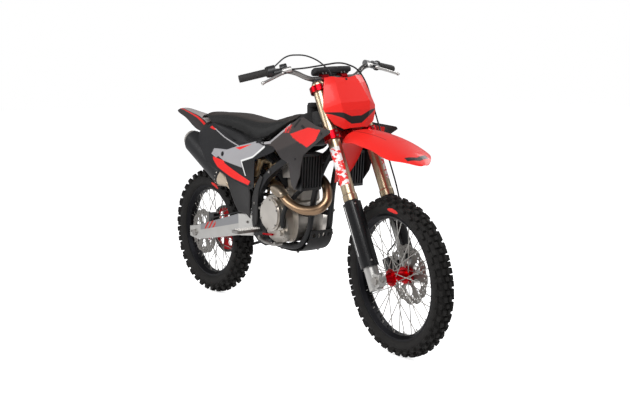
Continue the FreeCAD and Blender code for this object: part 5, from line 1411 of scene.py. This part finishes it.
def thicken(sheet, wall):
    """Round a sheet off, give it a wall and turn its faces outwards."""
    modify(sheet, "SUBSURF", levels=2, render_levels=2)
    modify(sheet, "SOLIDIFY", thickness=wall / 1000, offset=0.0)
    modify(sheet, "BEVEL", width=0.0008, segments=2, limit_method="ANGLE")
    outwards(sheet)
    return sheet


covers = []
for side in (-1, 1):
    rows = [[spot(x, side * y, z) for x, y, z in row] for row in cover_rows]
    covers.append(thicken(sheet_of("cover", rows), 3.0))
settle(join(covers, "filter_covers"), "filter_covers", "chassis", gloss_black, angle=40.0)

# %% Skid plate
tray_line = [
    (660, 360, 69), (720, 356, 71), (790, 354, 72), (850, 356, 71), (896, 366, 69),
    (932, 396, 67), (952, 432, 65), (961, 468, 61),
]
tray_rows = [
    [spot(x, share * half, z + 3.0 * share * share - 2.0) for x, z, half in tray_line]
    for share in (-1.0, -0.92, -0.6, -0.2, 0.2, 0.6, 0.92, 1.0)
]
tray = thicken(sheet_of("tray", tray_rows), 4.0)
HOLE_TURN = (0, math.radians(62), 0)
punch(tray, [
    solid(CYLINDER, spot(950, y, 440), vertices=20, radius=0.008, depth=0.06, rotation=HOLE_TURN)
    for y in (-42, -14, 14, 42)
])
settle(tray, "skid_tray", "chassis", black_plastic, stands_for=("skid_plate",), angle=40.0)

# %% [markdown]
# ## Grips, pegs and seals
# Ribs round the grips, teeth along the pegs, seals under the fork tubes, rivets round
# the silencer and a knurled tank cap are all small repeats. Each is one shaped model,
# copied to places that come from the steering's axes or from landings on the CAD part.

# %% Grip ribs
def band_ring(radius, wall, width):
    """A soft-edged ring about z."""
    band = solid(
        TORUS, major_radius=radius / 1000, minor_radius=wall / 1000,
        major_segments=28, minor_segments=6,
    )
    edit(band)
    bpy.ops.transform.resize(value=(1, 1, width / wall / 2))
    clear()
    return band


RIBS = 19
RIB_STEP = 6.0
grip_places = []
for side in (-1, 1):
    tip = Vector((-84, side * 400, 1000))
    inward = (Vector((-30, side * 260, 1004)) - tip).normalized()
    for number in range(RIBS):
        middle = steering_place @ ((tip + inward * (5 + number * RIB_STEP)) / 1000)
        grip_places.append(facing(middle, steering_place.to_3x3() @ inward))
ribs = copies(band_ring(16.0, 0.9, 3.4), grip_places, "ribs")
settle(ribs, "grip_ribs", "steering", grip_rubber, angle=50.0)

# %% Fork seals and tank cap
seal_places = [steering_place @ Matrix.Translation(mm(22, side, 357)) for side in LEGS]
seals = copies(band_ring(28.6, 1.6, 9.0), seal_places, "seals")
settle(seals, "fork_seals", "steering", cord_rubber, angle=50.0)

cap_seat = landing("fuel_tank", spot(905, 0, 1300), Vector((0, 0, -1)))[0].translation
print("tank cap at", cap_seat)


def flute(place, normal):
    """A test for every second face of the cap's edge."""
    return abs(normal.z) < 0.1 and math.sin(math.atan2(normal.y, normal.x) * 20) > 0


cap = solid(CYLINDER, cap_seat, vertices=40, radius=0.033, depth=0.020)
edit(cap, flute)
bpy.ops.transform.resize(value=(1.0, 1.0, 0.9))
pick(cap, top)
sink(6, 0, 0, 2)
sink(12, 0, 0, -3)
modify(cap, "BEVEL", width=0.0012, segments=2, limit_method="ANGLE")
settle(cap, "tank_cap", "chassis", black_plastic, angle=30.0)

# %% Peg teeth, rivets, shock adjuster and red trim
tooth = solid(CONE, mm(0, 0, 2.5), vertices=4, radius1=0.0048, radius2=0.0012, depth=0.007)
edit(tooth, top)
sink(0.4, 0, 0, -0.8)
clear()
tooth_seats = [
    seat for side in (-1, 1) for y in range(122, 236, 12) for x in (580, 592, 608, 620)
    for seat in landing("foot_controls", spot(x, side * y, 470), Vector((0, 0, -1)))
]
settle(copies(tooth, tooth_seats, "teeth"), "peg_teeth", "chassis", bare_steel, angle=20.0)

RIVETS = 14
rivet_seats = []
can_rise = Vector((156, 0, 296)).normalized()
for reach in (-24, 330):
    middle = CAN_REAR + can_run * (reach / 1000)
    for number in range(RIVETS):
        turn = 2 * math.pi * number / RIVETS
        out = (Vector((0, math.cos(turn), 0)) + can_rise * math.sin(turn)).normalized()
        rivet_seats += landing("muffler", middle + out * 0.25, -out)
bolts("can_rivets", rivet_seats, 5, 1.6, "chassis", smooth_silver)
bolts("shock_adjuster", side_seats("rear_shock", [(548, 768)], (-1,)), 17, 9, "chassis", blue_metal)

TRIM_TURN = (0, math.radians(-4), 0)
trim = solid(CUBE, spot(702, -127, 424), mm(76, 12, 9), size=1, rotation=TRIM_TURN)
edit(trim, right)
sink(2, 0, 1, 0)
modify(trim, "BEVEL", width=0.002, segments=2, limit_method="ANGLE")
settle(trim, "case_trim", "chassis", red_metal, angle=40.0)
